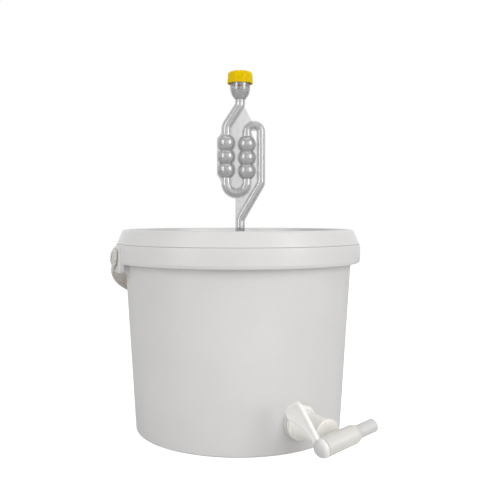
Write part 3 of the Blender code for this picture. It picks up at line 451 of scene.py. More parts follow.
# Floor, wall, rim and band as one closed profile turned about Z; ears, ribs and the tap's pad joined on
def makeBucket():
    s, e, t = bucketSizes, earSizes, tapSizes
    roof = s["skirtTop"] - s["skirtWall"]
    skirtIn = s["skirtRadius"] - s["skirtWall"]
    corners = [
        (0, s["floor"], 0), (wallRadius(s["floor"]) - s["wall"], s["floor"], s["floorFillet"]),
        (wallRadius(s["rimHeight"]) - s["wall"], s["rimHeight"], 0.9),
        (wallRadius(s["rimHeight"]), s["rimHeight"], 0.9),
        (wallRadius(s["skirtTop"]), s["skirtTop"], 0.5), (s["skirtRadius"], s["skirtTop"], s["skirtEdge"]),
        (s["skirtRadius"], s["skirtBottom"] + s["skirtFoot"], 3.0),
        (s["skirtRadius"] - s["skirtFoot"] / 3, s["skirtBottom"], 0.8),
        (skirtIn, s["skirtBottom"], 0.2), (skirtIn, roof, 0.8),
        (wallRadius(roof), roof, 0.8), (wallRadius(0), 0, s["baseFillet"]), (0, 0, 0),
    ]
    profile = evenly(cornerPath(corners, 8), 8.0)
    bucket = bodyFrom("bucket_shell", turnedRings(profile, s["steps"]), caps=False)
    hole = rod(e["pegHole"], -e["wall"] - overrun, overrun)
    joins, cuts = [], []
    for side in (0, 1):
        joins += [earPlate(side), gusset(side, -1), gusset(side, 1)]
        cuts.append(turnedBody(f"pegHole{side}", hole, 48, earPlace(side), (e["face"], 0, 0)))
    pad = cornerPath([(0, -t["padBack"], 0), (t["padRadius"], -t["padBack"], 0.3),
                      (t["padRadius"], t["padFront"], 0.15), (0, t["padFront"], 0)], 4)
    joins.append(turnedBody("tapPad", pad, 96, tapPlace()))
    bore = rod(t["wallHole"], -t["padBack"] - overrun, t["padFront"] + overrun)
    cuts.append(turnedBody("tapHole", bore, 64, tapPlace()))
    fused(bucket, joins, cuts)
    finishPiece(bucket, "bucket", ["bucket"], mouldedPlastic("bucketWhite", whiteLook))


# Lid and its seals

lidLook = {**whiteLook, "roughness": 0.34, "waveSize": 40}
gasketLook = {
    **whiteLook, "light": (206, 200, 190), "dark": (198, 192, 182), "roughness": 0.6, "cloudSize": 12,
}
rubberLook = {
    **whiteLook, "light": (46, 46, 47), "dark": (36, 36, 37), "roughness": 0.55, "cloudSize": 3,
    "skinSize": 0.3, "skinDepth": 0.02,
}
lidSizes = {
    "parting": 0.12, "crest": 183.3, "crestEdge": 3.0, "lipInset": 0.9, "lipHeight": 3.5, "lipSlope": 1.5,
    "shoulderSlope": 4.1, "shoulderDrop": 3.2, "crestSlope": 5.3, "crestWidth": 4.5, "wall": 1.8,
    "panelDrop": 5.2, "plugDepth": 8.8, "plugWall": 1.8, "plugClearance": 0.5, "channelClearance": 0.9,
    "gasket": 1.2, "hole": 6.6, "steps": 320,
}
grommetSizes = {"flange": 2.2, "reach": 2.6}
airlockX = 2.0        # the airlock's axis, towards +X from the bucket's


# Upright axes at a height on the airlock's axis
def airlockPlace(height=0):
    return np.eye(3), np.array([airlockX, 0, height])


# Closed profile carried round; its innermost rings slide over to the airlock's axis
def makeLid():
    s, b = lidSizes, bucketSizes
    lip = b["skirtRadius"] - s["lipInset"]
    lipTop, shoulder, crest = lip - s["lipSlope"], lip - s["shoulderSlope"], lip - s["crestSlope"]
    rim = wallRadius(b["rimHeight"])
    plug = rim - b["wall"] - s["plugClearance"]
    channel = rim + s["channelClearance"]
    bottom = b["skirtTop"] + s["parting"]
    roof = b["rimHeight"] + s["gasket"] + 2 * fitGap
    panelTop = s["crest"] - s["panelDrop"]
    panelBottom = panelTop - s["wall"]
    well = crest - s["crestWidth"]
    corners = [
        (s["hole"], panelTop, 0.3), (well - s["wall"] / 2, panelTop, s["wall"]),
        (well, s["crest"], s["wall"] / 2),
        (crest, s["crest"], s["crestEdge"]), (shoulder, s["crest"] - s["shoulderDrop"], s["wall"]),
        (lipTop, bottom + s["lipHeight"], s["wall"]), (lip, bottom, 0.35), (lip - s["wall"], bottom, 0.35),
        (lipTop - s["wall"], bottom + s["lipHeight"], 0.3),
        (channel, b["rimHeight"] - b["wall"] / 2, 0.3),
        (channel, roof, 0.3), (plug, roof, 0.3), (plug, roof - s["plugDepth"], 0.5),
        (plug - s["plugWall"], roof - s["plugDepth"], 0.5), (plug - s["plugWall"], panelBottom, 0.6),
        (s["hole"], panelBottom, 0.3),
    ]
    profile = evenly(cornerPath(corners, 8, True), 6.0, True)
    rings = turnedRings(profile, s["steps"])
    slide = 1 - np.clip((profile[:, 0] - s["hole"]) / (well / 2), 0, 1)
    rings[..., 0] += (airlockX * slide * slide * (3 - 2 * slide))[:, None]
    lid = bodyFrom("snap_lid", rings, loop=True)
    finishPiece(lid, "lid", ["lid"], mouldedPlastic("lidWhite", lidLook))


# Turned ring of one closed profile
def ring(name, corners, body, slotName, material, place=identity, steps=128):
    rings = turnedRings(cornerPath(corners, 5, True), steps)
    finishPiece(bodyFrom(name, rings, place, loop=True), body, [slotName], material)


# The gasket and the grommet are turned rings of four and of eight corners
def makeLidSeals():
    s, b = lidSizes, bucketSizes
    rim = wallRadius(b["rimHeight"])
    inner = rim - b["wall"] - s["plugClearance"] + fitGap
    outer = rim + s["channelClearance"] - fitGap
    low = b["rimHeight"] + fitGap
    high = low + s["gasket"]
    corners = [(inner, high, 0.3), (outer, high, 0.3), (outer, low, 0.3), (inner, low, 0.3)]
    ring("gasket_ring", corners, "lid", "lid_gasket", mouldedPlastic("gasketPale", gasketLook), steps=256)
    bore = airlockSizes["stemRadius"] + fitGap
    neck = s["hole"] - fitGap
    flange = s["hole"] + grommetSizes["reach"]
    top = s["crest"] - s["panelDrop"] + fitGap
    bottom = s["crest"] - s["panelDrop"] - s["wall"] - fitGap
    thick = grommetSizes["flange"]
    corners = [(bore, top + thick, 0.5), (flange, top + thick, 1.1), (flange, top, 0.4), (neck, top, 0.1),
               (neck, bottom, 0.1), (flange, bottom, 0.4), (flange, bottom - thick, 1.1),
               (bore, bottom - thick, 0.5)]
    rubber = mouldedPlastic("grommetRubber", rubberLook)
    ring("grommet_bush", corners, "lid", "airlock_grommet", rubber, airlockPlace(), 96)


# Airlock, heights above the lid's crest, x from its own axis

# The face and outline colours, sides and rim give painted shade towards the airlock's outlines; the bubbles
# and stem get painted shade too
clearLook = {
    "thin": 0.26, "sides": 0.17, "sideRange": (0.35, 0.85), "rim": 0.34, "paintedShade": 0.01, "flowSize": 4.0,
    "flowChange": 0.14, "rippleSize": 5.0, "rippleDepth": 0.05, "face": (106, 105, 107),
    "outline": (58, 58, 60), "roughness": 0.2, "gloss": 0.08, "shine": 0.14, "shineChange": 0.04,
    "rimPower": 5, "tintRange": (0.2, 0.95), "ior": 1.5, "stemEase": 4, "coreShare": 0.6,
    "columnShares": (1.4, 1.7),
}
airlockSizes = {
    "stemRadius": 4.4, "stemBelow": 16.0, "stemBend": 9.7, "rightX": 19.3, "rightRadius": 4.1,
    "rightFoot": 42.7, "archCentre": 90.03, "rightColumn": 6.1, "leftColumn": -12.8, "bubble": 8.75,
    "pitch": 12.35, "rightMiddle": 66.57, "leftMiddle": 67.57, "columnEnd": 4.8, "trapCentre": 43.1,
    "trapRadius": 4.9, "upperRadius": 4.7, "upperFoot": 95.63, "upperHead": 115.13, "bend": 8.0,
    "cupFoot": 120.13, "bowl": ((122.33, 6.4), (125.03, 8.1), (128.73, 9.2)), "cupRim": 142.63,
    "cupRadius": 10.0, "wall": 1.2, "web": 1.8, "webHole": 0.3, "sides": 40,
}


# Heights and radii down a column of three bubbles that run into each other
def bubbleColumn(x, middle, upwards):
    s = airlockSizes
    end = math.asin(s["columnEnd"] / s["bubble"])
    neck = math.asin(s["pitch"] / 2 / s["bubble"])
    rows = []
    for step in (1, 0, -1):
        top = math.pi / 2 - end if step == 1 else neck
        low = math.pi / 2 - end if step == -1 else neck
        angle = np.linspace(top, -low, 22)
        height = middle + step * s["pitch"] + s["bubble"] * np.sin(angle)
        rows.append(np.column_stack([np.full(22, x), height, np.zeros(22), s["bubble"] * np.cos(angle)]))
    rows = np.concatenate(rows)
    return rows[::-1] if upwards else rows


# The one long way from the stem's foot to the cup's rim, as points with a radius each
def airlockPath():
    s = airlockSizes
    arch = (s["rightX"] - s["rightColumn"]) / 2
    trap = (s["rightColumn"] - s["leftColumn"]) / 2
    corners = [
        (0, -s["stemBelow"], 0, s["stemRadius"]), (0, s["stemBend"], s["bend"], s["stemRadius"]),
        (s["rightX"], s["rightFoot"], s["bend"], s["rightRadius"]),
        (s["rightX"], s["archCentre"] + arch, arch, s["rightRadius"]),
        (s["rightColumn"], s["archCentre"] + arch, arch, s["rightRadius"]),
        *bubbleColumn(s["rightColumn"], s["rightMiddle"], False),
        (s["rightColumn"], s["trapCentre"] - trap, trap, s["trapRadius"]),
        (s["leftColumn"], s["trapCentre"] - trap, trap, s["trapRadius"]),
        *bubbleColumn(s["leftColumn"], s["leftMiddle"], True),
        (s["leftColumn"], s["upperFoot"], s["bend"], s["upperRadius"]),
        (0, s["upperHead"], s["bend"], s["upperRadius"]), (0, s["cupFoot"], 0, s["upperRadius"]),
        *((0, height, 0, radius) for height, radius in s["bowl"]),
        (0, s["cupRim"], 0, s["cupRadius"]),
    ]
    corners = np.array(corners)
    path = cornerPath(corners[:, :3], 14)
    run = np.concatenate([[0], np.cumsum(np.linalg.norm(np.diff(path, axis=0), axis=1))])
    nearest = [np.argmin(np.linalg.norm(path - corner, axis=1)) for corner in corners[:, :2]]
    return path, np.interp(run, run[np.maximum.accumulate(nearest)], corners[:, 3])


# A tube whose radius varies along its path, and a web; the same tube less its wall is cut out of both
def makeAirlock():
    s = airlockSizes
    place = airlockPlace(lidSizes["crest"])
    path, radius = airlockPath()
    outer = bodyFrom("airlock_moulding", tubeRings(path, radius, s["sides"]), place)
    longer = path.copy()
    longer[0, 1] -= overrun
    longer[-1, 1] += overrun
    inner = bodyFrom("airlockBore", tubeRings(longer, radius - s["wall"], s["sides"]), place)
    stand = (np.array([[1, 0, 0], [0, 0, -1], [0, 1, 0]], float), place[1])
    web = flatPlate("airlockWeb", webOutlines(), s["web"], stand)
    fused(outer, [web], [inner])
    finishPiece(outer, "airlock", ["airlock_body"],
                clearPlastic("airlockClear", clearLook, airlockPaintedShade))


# Painted shade: 1 over the bubbles and the stem, where they are darkened; the distance to the nearest
# bubble's centre folds at every pitch
def airlockPaintedShade(finish):
    s = airlockSizes
    x = finish.axis("X") - airlockX
    z = finish.axis("Z") - lidSizes["crest"]
    ends = [s["pitch"] * share for share in clearLook["columnShares"]]
    total = 1 - z.between(s["stemBend"], s["stemBend"] + clearLook["stemEase"])
    for column, middle in ((s["rightColumn"], s["rightMiddle"]), (s["leftColumn"], s["leftMiddle"])):
        across, up = x - column, z - middle
        folded = up.reckon("PINGPONG", up, s["pitch"] / 2)
        away = (across * across + folded * folded) ** 0.5
        inColumn = 1 - up.reckon("ABSOLUTE", up).between(*ends)
        total = total + (1 - away.between(s["bubble"] * clearLook["coreShare"], s["bubble"])) * inColumn
    return total


# Outline of the flat web between the tubes, and of the opening under the arch
def webOutlines():
    s = airlockSizes
    trap = (s["rightColumn"] - s["leftColumn"]) / 2
    trapX = (s["rightColumn"] + s["leftColumn"]) / 2
    leftEdge = s["leftColumn"] - s["bubble"]
    archX = (s["rightX"] + s["rightColumn"]) / 2
    arch = s["rightX"] - archX
    turn = np.radians(np.linspace(255, 200, 12))
    reach = trap + s["trapRadius"] / 2
    around = np.column_stack([trapX + reach * np.cos(turn), s["trapCentre"] + reach * np.sin(turn)])
    outline = np.array([
        (-s["stemRadius"], s["stemBend"]), (-s["stemRadius"], s["trapCentre"] - trap), *around,
        (leftEdge, s["leftMiddle"] - s["pitch"] - s["bubble"] / 2),
        (leftEdge, s["leftMiddle"] + s["pitch"] + s["bubble"] / 2),
        (s["leftColumn"], s["upperFoot"]), (0, s["upperHead"]),
        (s["stemRadius"], s["upperHead"] - s["upperRadius"] / 2), (archX, s["archCentre"] + arch),
        (s["rightX"], s["archCentre"]), (s["rightX"], s["rightFoot"]),
    ])
    left = s["rightColumn"] + s["rightRadius"] - s["webHole"]
    right = s["rightX"] - s["rightRadius"] + s["webHole"]
    top = s["archCentre"] + (arch - s["rightRadius"]) / 2
    hole = np.array([(left, top), (right, top), (right, s["rightMiddle"] + s["pitch"])])
    return [outline, hole]


capLook = {
    **whiteLook, "light": (229, 197, 0), "dark": (220, 187, 0), "roughness": 0.42, "cloudSize": 8,
    "waveSize": 5, "waveDepth": 0.03, "shine": 0.05, "glow": 0.5,
}
capSizes = {
    "radius": 11.9, "topRadius": 11.2, "height": 11.3, "cover": 7.7, "wall": 1.2, "edge": 3.0,
    "ribWall": 1.2, "ribSeat": 1.6, "ribs": 4, "ribSlope": 0.4, "ribSunk": 0.7, "dome": 0.5,
}


# A turned cup with an eased top, and four ribs inside that rest on the airlock
def makeAirlockCap():
    s, a = capSizes, airlockSizes
    rim = lidSizes["crest"] + a["cupRim"]
    bottom = rim - s["cover"]
    top = bottom + s["height"]
    inside = s["radius"] - s["wall"]
    corners = [
        (0, top, 0), (s["topRadius"], top - s["dome"], s["edge"]), (s["radius"], bottom, 0.35),
        (inside, bottom, 0.3),
        (s["topRadius"] - s["wall"], top - s["wall"], s["edge"] - s["wall"]), (0, top - s["wall"], 0),
    ]
    place = airlockPlace()
    cap = bodyFrom("yellow_cap", turnedRings(evenly(cornerPath(corners, 10), 2.0), 128), place, caps=False)
    outline = np.array([
        (a["cupRadius"] + fitGap, bottom + s["wall"]), (inside + s["wall"] / 2, bottom + s["wall"]),
        (inside + s["wall"] / 2 - s["ribSlope"], top - s["edge"]),
        (a["cupRadius"] - s["ribSeat"], top - s["wall"] * s["ribSunk"]),
        (a["cupRadius"] - s["ribSeat"], rim + fitGap), (a["cupRadius"] + fitGap, rim + fitGap),
    ])
    ribs = []
    for index in range(s["ribs"]):
        turn = np.array(Euler((0, 0, 2 * math.pi * (index + 0.5) / s["ribs"])).to_matrix())
        rings = stackedRings(outline, [(0, -s["ribWall"] / 2), (0, s["ribWall"] / 2)])
        ribs.append(bodyFrom(f"capRib{index}", upright(rings), (turn, place[1])))
    fused(cap, ribs)
    finishPiece(cap, "airlock_cap", ["airlock_cap"], mouldedPlastic("capYellow", capLook))


# Handle

handleLook = {
    **whiteLook, "light": (204, 201, 196), "dark": (198, 195, 189), "roughness": 0.36, "cloudSize": 20,
    "glow": 1.0, "glowDepth": 6.0,
}
handleSizes = {
    "pegRadius": 3.5, "pegReach": 6.0, "hubRadius": 6.0, "hubWall": 2.6, "width": 15.0, "thickness": 2.6,
    "flare": 1.38, "flareAngle": 14, "channelWidth": 8.5, "channelDepth": 0.7, "steps": 180,
}


# Angle below level at which the hanging strap's lower edge comes to rest on the wall
def handleTilt():
    s, e = handleSizes, earSizes
    hubMiddle = e["face"] + fitGap + s["hubWall"] / 2
    inner = hubMiddle + s["flare"] - s["thickness"] / 2
    edge = s["width"] / 2
    tilt = 0.0
    for _ in range(40):
        height = e["height"] - inner * math.sin(tilt) - edge * math.cos(tilt)
        tilt = math.acos(min((wallRadius(height) + fitGap + edge * math.sin(tilt)) / inner, 1))
    return tilt


# Channelled strap carried along a half circle that bows out past its hubs
def makeHandle():
    s, e = handleSizes, earSizes
    face, half, channel = s["thickness"] / 2, s["width"] / 2, s["channelWidth"] / 2
    floor = face - s["channelDepth"]
    corners = [
        (-face, half, 0.8), (-face, -half, 0.8), (face, -half, 0.8), (face, -channel, 0.25),
        (floor, -channel, 0.3), (floor, channel, 0.3), (face, channel, 0.25), (face, half, 0.8),
    ]
    section = evenly(cornerPath(corners, 4, True), 1.5, True)
    hubMiddle = e["face"] + fitGap + s["hubWall"] / 2
    turn = np.linspace(0, np.pi, s["steps"] + 1)
    fromEnd = np.minimum(turn, np.pi - turn) / math.radians(s["flareAngle"])
    radius = hubMiddle + s["flare"] * np.sin(np.clip(fromEnd, 0, 1) * np.pi / 2)
    path = np.column_stack([radius * np.cos(turn), radius * np.sin(turn)])
    along = np.gradient(path, axis=0)
    along /= np.linalg.norm(along, axis=1, keepdims=True)
    out = np.stack([along[:, 1], -along[:, 0]], axis=1)
    flat = path[:, None] + out[:, None] * section[None, :, :1]
    rings = np.concatenate([flat, np.broadcast_to(section[None, :, 1:], (*flat.shape[:2], 1))], axis=-1)
    pivot = (np.array(Euler((-handleTilt(), 0, math.radians(e["turn"]))).to_matrix()),
             np.array([0, 0, e["height"]]))
    handle = bodyFrom("bail_handle", rings, pivot)
    start = e["face"] + fitGap
    joins = []
    end, deep = start + s["hubWall"], start - s["pegReach"]
    hub = cornerPath([(0, start, 0), (s["hubRadius"], start, 0.4), (s["hubRadius"], end, 0.9),
                      (0, end, 0)], 5)
    peg = cornerPath([(0, deep, 0), (s["pegRadius"], deep, 0.6), (s["pegRadius"], hubMiddle, 0),
                      (0, hubMiddle, 0)], 5)
    for side in (1, -1):
        flipped = (pivot[0] * np.array([side, side, 1]), pivot[1])
        joins += [turnedBody(f"hub{side}", hub, 96, flipped), turnedBody(f"peg{side}", peg, 48, flipped)]
    fused(handle, joins)
    finishPiece(handle, "handle", ["handle"], mouldedPlastic("handleWhite", handleLook))


# Tap: x runs out from the wall, y along the spout, z up

# The paler colour in the next two looks is painted light, laid on the tap and the lever by a mask
creamLook = {
    **whiteLook, "light": (221, 218, 214), "dark": (216, 212, 207), "paintedLightColour": (247, 243, 236),
    "roughness": 0.32, "cloudSize": 14, "waveSize": 8, "waveDepth": 0.03, "glow": 0.8, "glowDepth": 4.0,
}
leverLook = {
    **whiteLook, "light": (209, 208, 207), "dark": (205, 204, 203), "paintedLightColour": (244, 243, 240),
    "roughness": 0.30, "cloudSize": 16, "waveSize": 8, "waveDepth": 0.03, "glow": 0.35, "glowDepth": 1.5,
}
washerLook = {
    **whiteLook, "light": (214, 209, 201), "dark": (205, 200, 191), "roughness": 0.6, "cloudSize": 6,
}
tapSizes = {
    "turn": 31.5, "roll": 10.9, "tilt": 0.6, "height": 26.3, "padRadius": 14.4, "padFront": 0.914,
    "padBack": 4.0, "wallHole": 10.0, "washerRadius": 14.9, "washerWall": 1.4, "flangeRadius": 14.7,
    "flangeWall": 1.2, "octagonRadius": 14.6, "octagonWall": 2.8, "octagonTurn": 9.4, "octagonChamfer": 0.9,
    "coneRadius": 12.1, "coneFoot": 0.5, "coneLength": 8.0, "barrelRadius": 10.6, "collarRadius": 11.5,
    "collarWall": 2.6, "collarReach": 37.51, "spoutAxis": 53.01, "housingRadius": 7.55, "housingBack": 16.6,
    "housingFront": 15.8, "chamfer": 1.4, "chamferLength": 3.4, "neckLeft": 1.3, "neckRight": 10.0,
    "neckTop": 0.6, "neckBottom": 7.2, "neckWall": 1.6, "bore": 7.0, "threadRadius": 9.6,
    "threadLength": 15.5, "threadPitch": 1.8, "threadDepth": 0.5, "threadStart": 4.5, "threadEnd": 0.6,
    "threadTip": 0.8, "nutRadius": 15.5, "nutWall": 6.0,
    # the barrel's painted light, a paler colour where the barrel, octagon and flange lie in shade, ends from
    # the first before the collar's face to the second before the axis
    "paintedLightBefore": 2, "paintedLightEnd": 7,
}
leverSizes = {
    "plugRadius": 5.75, "spoutRadius": 5.35, "spoutReach": 33.5, "spoutBore": 3.7, "spoutEdge": 0.5,
    "port": 3.4, "portRun": 0.4, "domeLength": 7.45, "domeEdge": 7.0, "angle": 145.4, "length": 44.5,
    "width": 27.0, "wall": 3.2, "edge": 1.0, "rim": 2.8, "recess": 0.7, "paddleGap": 0.05,
    # how far inside and outside the dome the paddle's painted light, a paler colour for light through the
    # thin paddle, comes in
    "toneInside": 2, "paintedLightOutside": 1,
    # corners of the paddle: share of its length, share of its width, rounding as a share of its width
    "outlineShares": ((-0.05, 0.05, 0.0), (0.805, 0.555, 0.22), (1.01, -0.11, 0.42), (0.95, -0.48, 0.17),
                      (0.38, -0.02, 0.70), (-0.05, -0.27, 0.0)),
    # steps down into the sunk face: share of the rim, share of the recess
    "dipShares": ((0.75, 0.0), (0.9, 0.2), (1.05, 0.8), (1.25, 1.0)),
    # the paddle's edges start slight inside the dome and are whole past it: shares of the dome's radius
    "easeShares": (0.25, 1.2), "easeLeast": 0.15,
}


# The tap's own axes at the wall: rolled, tilted, then turned about Z
def tapPlace():
    s = tapSizes
    azimuth = math.radians(s["turn"]) - math.pi / 2
    turn = np.array(Euler((math.radians(s["roll"]), math.radians(s["tilt"]), azimuth)).to_matrix())
    foot = wallRadius(s["height"])
    return turn, np.array([foot * math.cos(azimuth), foot * math.sin(azimuth), s["height"]])


# Rings turned about Z made to turn about the spout's axis, height running back to the lever
def alongSpout(rings):
    return upright(rings) + np.array([tapSizes["spoutAxis"], 0, 0])


# Radius of the tapered plug at a place along the spout's axis, inside the housing
def plugRadius(reach):
    s, t = leverSizes, tapSizes
    share = (reach + t["housingBack"]) / (t["housingFront"] + t["housingBack"])
    return s["plugRadius"] + (s["spoutRadius"] - s["plugRadius"]) * share


# Outline of a many-sided bar whose corners are eased: the radius follows the flats
def cornered(radius, sides, turn, steps, rounding):
    angles = [turn + 2 * math.pi * i / sides for i in range(sides)]
    corners = [(radius * math.cos(angle), radius * math.sin(angle), rounding) for angle in angles]
    return evenly(cornerPath(corners, steps, True), 1.5, True)


# Painted light: 1 on the barrel and its collars, 0 on the housing, by how far a place lies out from the wall;
# it pales the shaded parts near the wall
def barrelPaintedLight(finish):
    turn, origin = tapPlace()
    start = tapSizes["collarReach"] - tapSizes["paintedLightBefore"]
    away = finish.alongLine(origin, turn[:, 0])
    return 1 - away.between(start, tapSizes["spoutAxis"] - tapSizes["paintedLightEnd"])


# Corners of the neck's four sides, moved inwards
def neckCorners(inwards, rounding):
    s = tapSizes
    left, right = -s["neckLeft"] + inwards, s["neckRight"] - inwards
    low, high = -s["neckBottom"] + inwards, s["neckTop"] - inwards
    return [(left, low, rounding), (right, low, rounding), (right, high, rounding), (left, high, rounding)]


# Turned barrel with flange, cone and collar; octagon, neck and housing joined on, the passages cut out
def makeTapBody():
    s = tapSizes
    washerFront = s["padFront"] + fitGap + s["washerWall"] + fitGap
    octagonBack = washerFront + s["flangeWall"]
    octagonFront = octagonBack + s["octagonWall"]
    collarBack = s["collarReach"] - s["collarWall"]
    corners = [
        (0, s["collarReach"], 0), (s["collarRadius"], s["collarReach"], 0.7),
        (s["collarRadius"], collarBack, 0.5), (s["barrelRadius"], collarBack, 0.4),
        (s["barrelRadius"], octagonFront + s["coneLength"], 14),
        (s["coneRadius"], octagonFront - s["coneFoot"], 0.3), (s["coneRadius"], octagonBack, 0),
        (s["flangeRadius"], octagonBack, 0.5), (s["flangeRadius"], washerFront, 0.4),
        (s["threadRadius"], washerFront, 0),
    ]
    outside = evenly(cornerPath(corners, 8), 1.5)
    turns = int(s["threadLength"] / s["threadPitch"]) - 1
    thread = np.linspace(washerFront - s["threadStart"], s["threadEnd"] - s["threadLength"], turns * 8)
    phase = (thread - thread[0]) / s["threadPitch"] * 2 * np.pi
    ridge = s["threadRadius"] - s["threadDepth"] * (0.5 + 0.5 * np.cos(phase))
    tip = [(s["threadRadius"] - s["threadTip"], -s["threadLength"]), (0, -s["threadLength"])]
    profile = np.concatenate([outside, np.column_stack([ridge, thread]), tip])
    tap = turnedBody("tap_moulding", profile, 128, tapPlace())
    outline = cornered(s["octagonRadius"], 8, math.radians(s["octagonTurn"]), 5, 1.2)
    chamfer = s["octagonChamfer"]
    levels = [(0.3, octagonBack - s["flangeWall"] / 2), (0.3, octagonBack - 0.1), (0, octagonBack + 0.3),
              (0, octagonFront - chamfer - 0.2), (0.1, octagonFront - chamfer + 0.1),
              (chamfer - 0.2, octagonFront - 0.1), (chamfer + 0.2, octagonFront)]
    octagon = bodyFrom("tapOctagon", aboutX(stackedRings(outline, levels)), tapPlace())
    neck = stackedRings(evenly(cornerPath(neckCorners(0, 1.2), 5, True), 1.5, True),
                        [(0, s["collarReach"] - s["collarWall"] / 2), (0, s["spoutAxis"])])
    housing = cornerPath([
        (0, s["housingBack"], 0), (s["housingRadius"], s["housingBack"], 0.4),
        (s["housingRadius"], -s["housingFront"] + s["chamferLength"], 2.5),
        (s["housingRadius"] - s["chamfer"], -s["housingFront"], 0.5), (0, -s["housingFront"], 0),
    ], 6)
    joins = [octagon, bodyFrom("tapNeck", aboutX(neck), tapPlace()),
             bodyFrom("tapHousing", alongSpout(turnedRings(evenly(housing, 2.0))), tapPlace(), caps=False)]
    bore = rod(s["bore"], -s["threadLength"] - overrun, collarBack)
    passage = stackedRings(cornerPath(neckCorners(s["neckWall"], 0.6), 4, True),
                           [(0, collarBack - overrun), (0, s["spoutAxis"])])
    back, front = s["housingBack"] + overrun, -s["housingFront"] - overrun
    plug = np.array([(0, back), (plugRadius(-s["housingBack"]) + fitGap, back),
                     (plugRadius(s["housingFront"]) + fitGap, front), (0, front)])
    cuts = [turnedBody("barrelBore", bore, 64, tapPlace()),
            bodyFrom("neckPassage", aboutX(passage), tapPlace()),
            bodyFrom("plugBore", alongSpout(turnedRings(plug, 96)), tapPlace(), caps=False)]
    fused(tap, joins, cuts)
    finishPiece(tap, "bucket", ["tap_body"], mouldedPlastic("tapCream", creamLook, barrelPaintedLight))


# Painted light: 1 on the paddle, 0 on the dome and the spout, by how far a place lies from the spout's axis
def paddlePaintedLight(finish):
    turn, origin = tapPlace()
    away = finish.fromLine(origin + turn @ np.array([tapSizes["spoutAxis"], 0, 0]), turn[:, 1])
    dome = tapSizes["housingRadius"]
    return away.between(dome - leverSizes["toneInside"], dome + leverSizes["paintedLightOutside"])


# The paddle's corners at shares of its length and width, each rounded by a share of its width
def leverOutline():
    s = leverSizes
    corners = [(along * s["length"], across * s["width"], rounding * s["width"])
               for along, across, rounding in s["outlineShares"]]
    return evenly(cornerPath(corners, 16, True), 1.0, True)[::-1]


# Dome, plug and spout turned about the spout's axis, with a paddle whose face is sunk inside a soft rim
def makeTapLever():
    s, t = leverSizes, tapSizes
    seat = t["housingBack"] + fitGap
    neckMiddle = (t["neckRight"] - t["neckLeft"]) / 2
    portEnd = s["port"] + s["portRun"] - neckMiddle
    corners = [
        (0, seat + s["domeLength"], 0), (t["housingRadius"], seat + s["domeLength"], s["domeEdge"]),
        (t["housingRadius"], seat, 0.35), (s["plugRadius"], seat, 0),
        (s["spoutRadius"], -t["housingFront"], 0), (s["spoutRadius"], -s["spoutReach"], 0.9),
        (s["spoutBore"], -s["spoutReach"], s["spoutEdge"]), (s["spoutBore"], portEnd, 0), (0, portEnd, 0),
    ]
    profile = evenly(cornerPath(corners, 12), 2.0)
    lever = bodyFrom("lever_and_spout", alongSpout(turnedRings(profile)), tapPlace(), caps=False)
    outline = leverOutline()
    eased = easedEdge(s["edge"])
    levels = [*eased, *((step, s["wall"] - rise) for step, rise in eased[::-1]),
              *((s["rim"] * across, s["wall"] - s["recess"] * down) for across, down in s["dipShares"])]
    rings = stackedRings(outline, levels)
    inDome = np.interp(outline[:, :1], np.array(s["easeShares"]) * t["housingRadius"], (s["easeLeast"], 1))
    rings[..., :2] = outline + (rings[..., :2] - outline) * inDome
    turn = math.radians(s["angle"])
    x, y = rings[..., 0], -rings[..., 1]
    out = x * math.cos(turn) - y * math.sin(turn) + t["spoutAxis"]
    up = x * math.sin(turn) + y * math.cos(turn)
    swung = np.stack([out, -seat - s["paddleGap"] - rings[..., 2], up], axis=-1)
    paddle = bodyFrom("leverPaddle", swung, tapPlace())
    port = rod(s["port"], -t["housingRadius"], 0)
    fused(lever, [paddle], [turnedBody("plugPort", port, 48, tapPlace(), (t["spoutAxis"], neckMiddle, 0))])
    material = mouldedPlastic("leverWhite", leverLook, paddlePaintedLight)
    finishPiece(lever, "tap_lever", ["tap_lever"], material)


# Two washers as turned rings, and the nut as a six-sided bar whose ends are eased
def makeTapFittings():
    s = tapSizes
    turn, origin = tapPlace()
    outwards = (turn @ np.array([[0, 0, 1], [1, 0, 0], [0, 1, 0]], float), origin)
    innerFace = -s["padBack"] - fitGap
    material = mouldedPlastic("washerGrey", washerLook)
    for name, node, low in (("outer_washer_ring", "tap_outer_washer", s["padFront"] + fitGap),
                            ("inner_washer_ring", "tap_inner_washer", innerFace - s["washerWall"])):
        high = low + s["washerWall"]
        corners = [(s["wallHole"], high, 0.2), (s["washerRadius"], high, 0.5), (s["washerRadius"], low, 0.5),
                   (s["wallHole"], low, 0.2)]
        ring(name, corners, "bucket", node, material, outwards)
    nutFace = innerFace - s["washerWall"] - fitGap
    outline = cornered(s["nutRadius"], 6, 0, 6, 0.8)
    levels = [(0.7, nutFace - s["nutWall"]), (0, nutFace - s["nutWall"] + 0.6), (0, nutFace - 0.3),
              (0.3, nutFace)]
    nut = bodyFrom("hexagon_locknut", aboutX(stackedRings(outline, levels)), (turn, origin))
    bore = rod(s["wallHole"], nutFace - s["nutWall"] - overrun, nutFace + overrun)
    fused(nut, [], [turnedBody("nutBore", bore, 64, (turn, origin))])
    finishPiece(nut, "bucket", ["tap_locknut"], mouldedPlastic("nutWhite", whiteLook))


# Studio

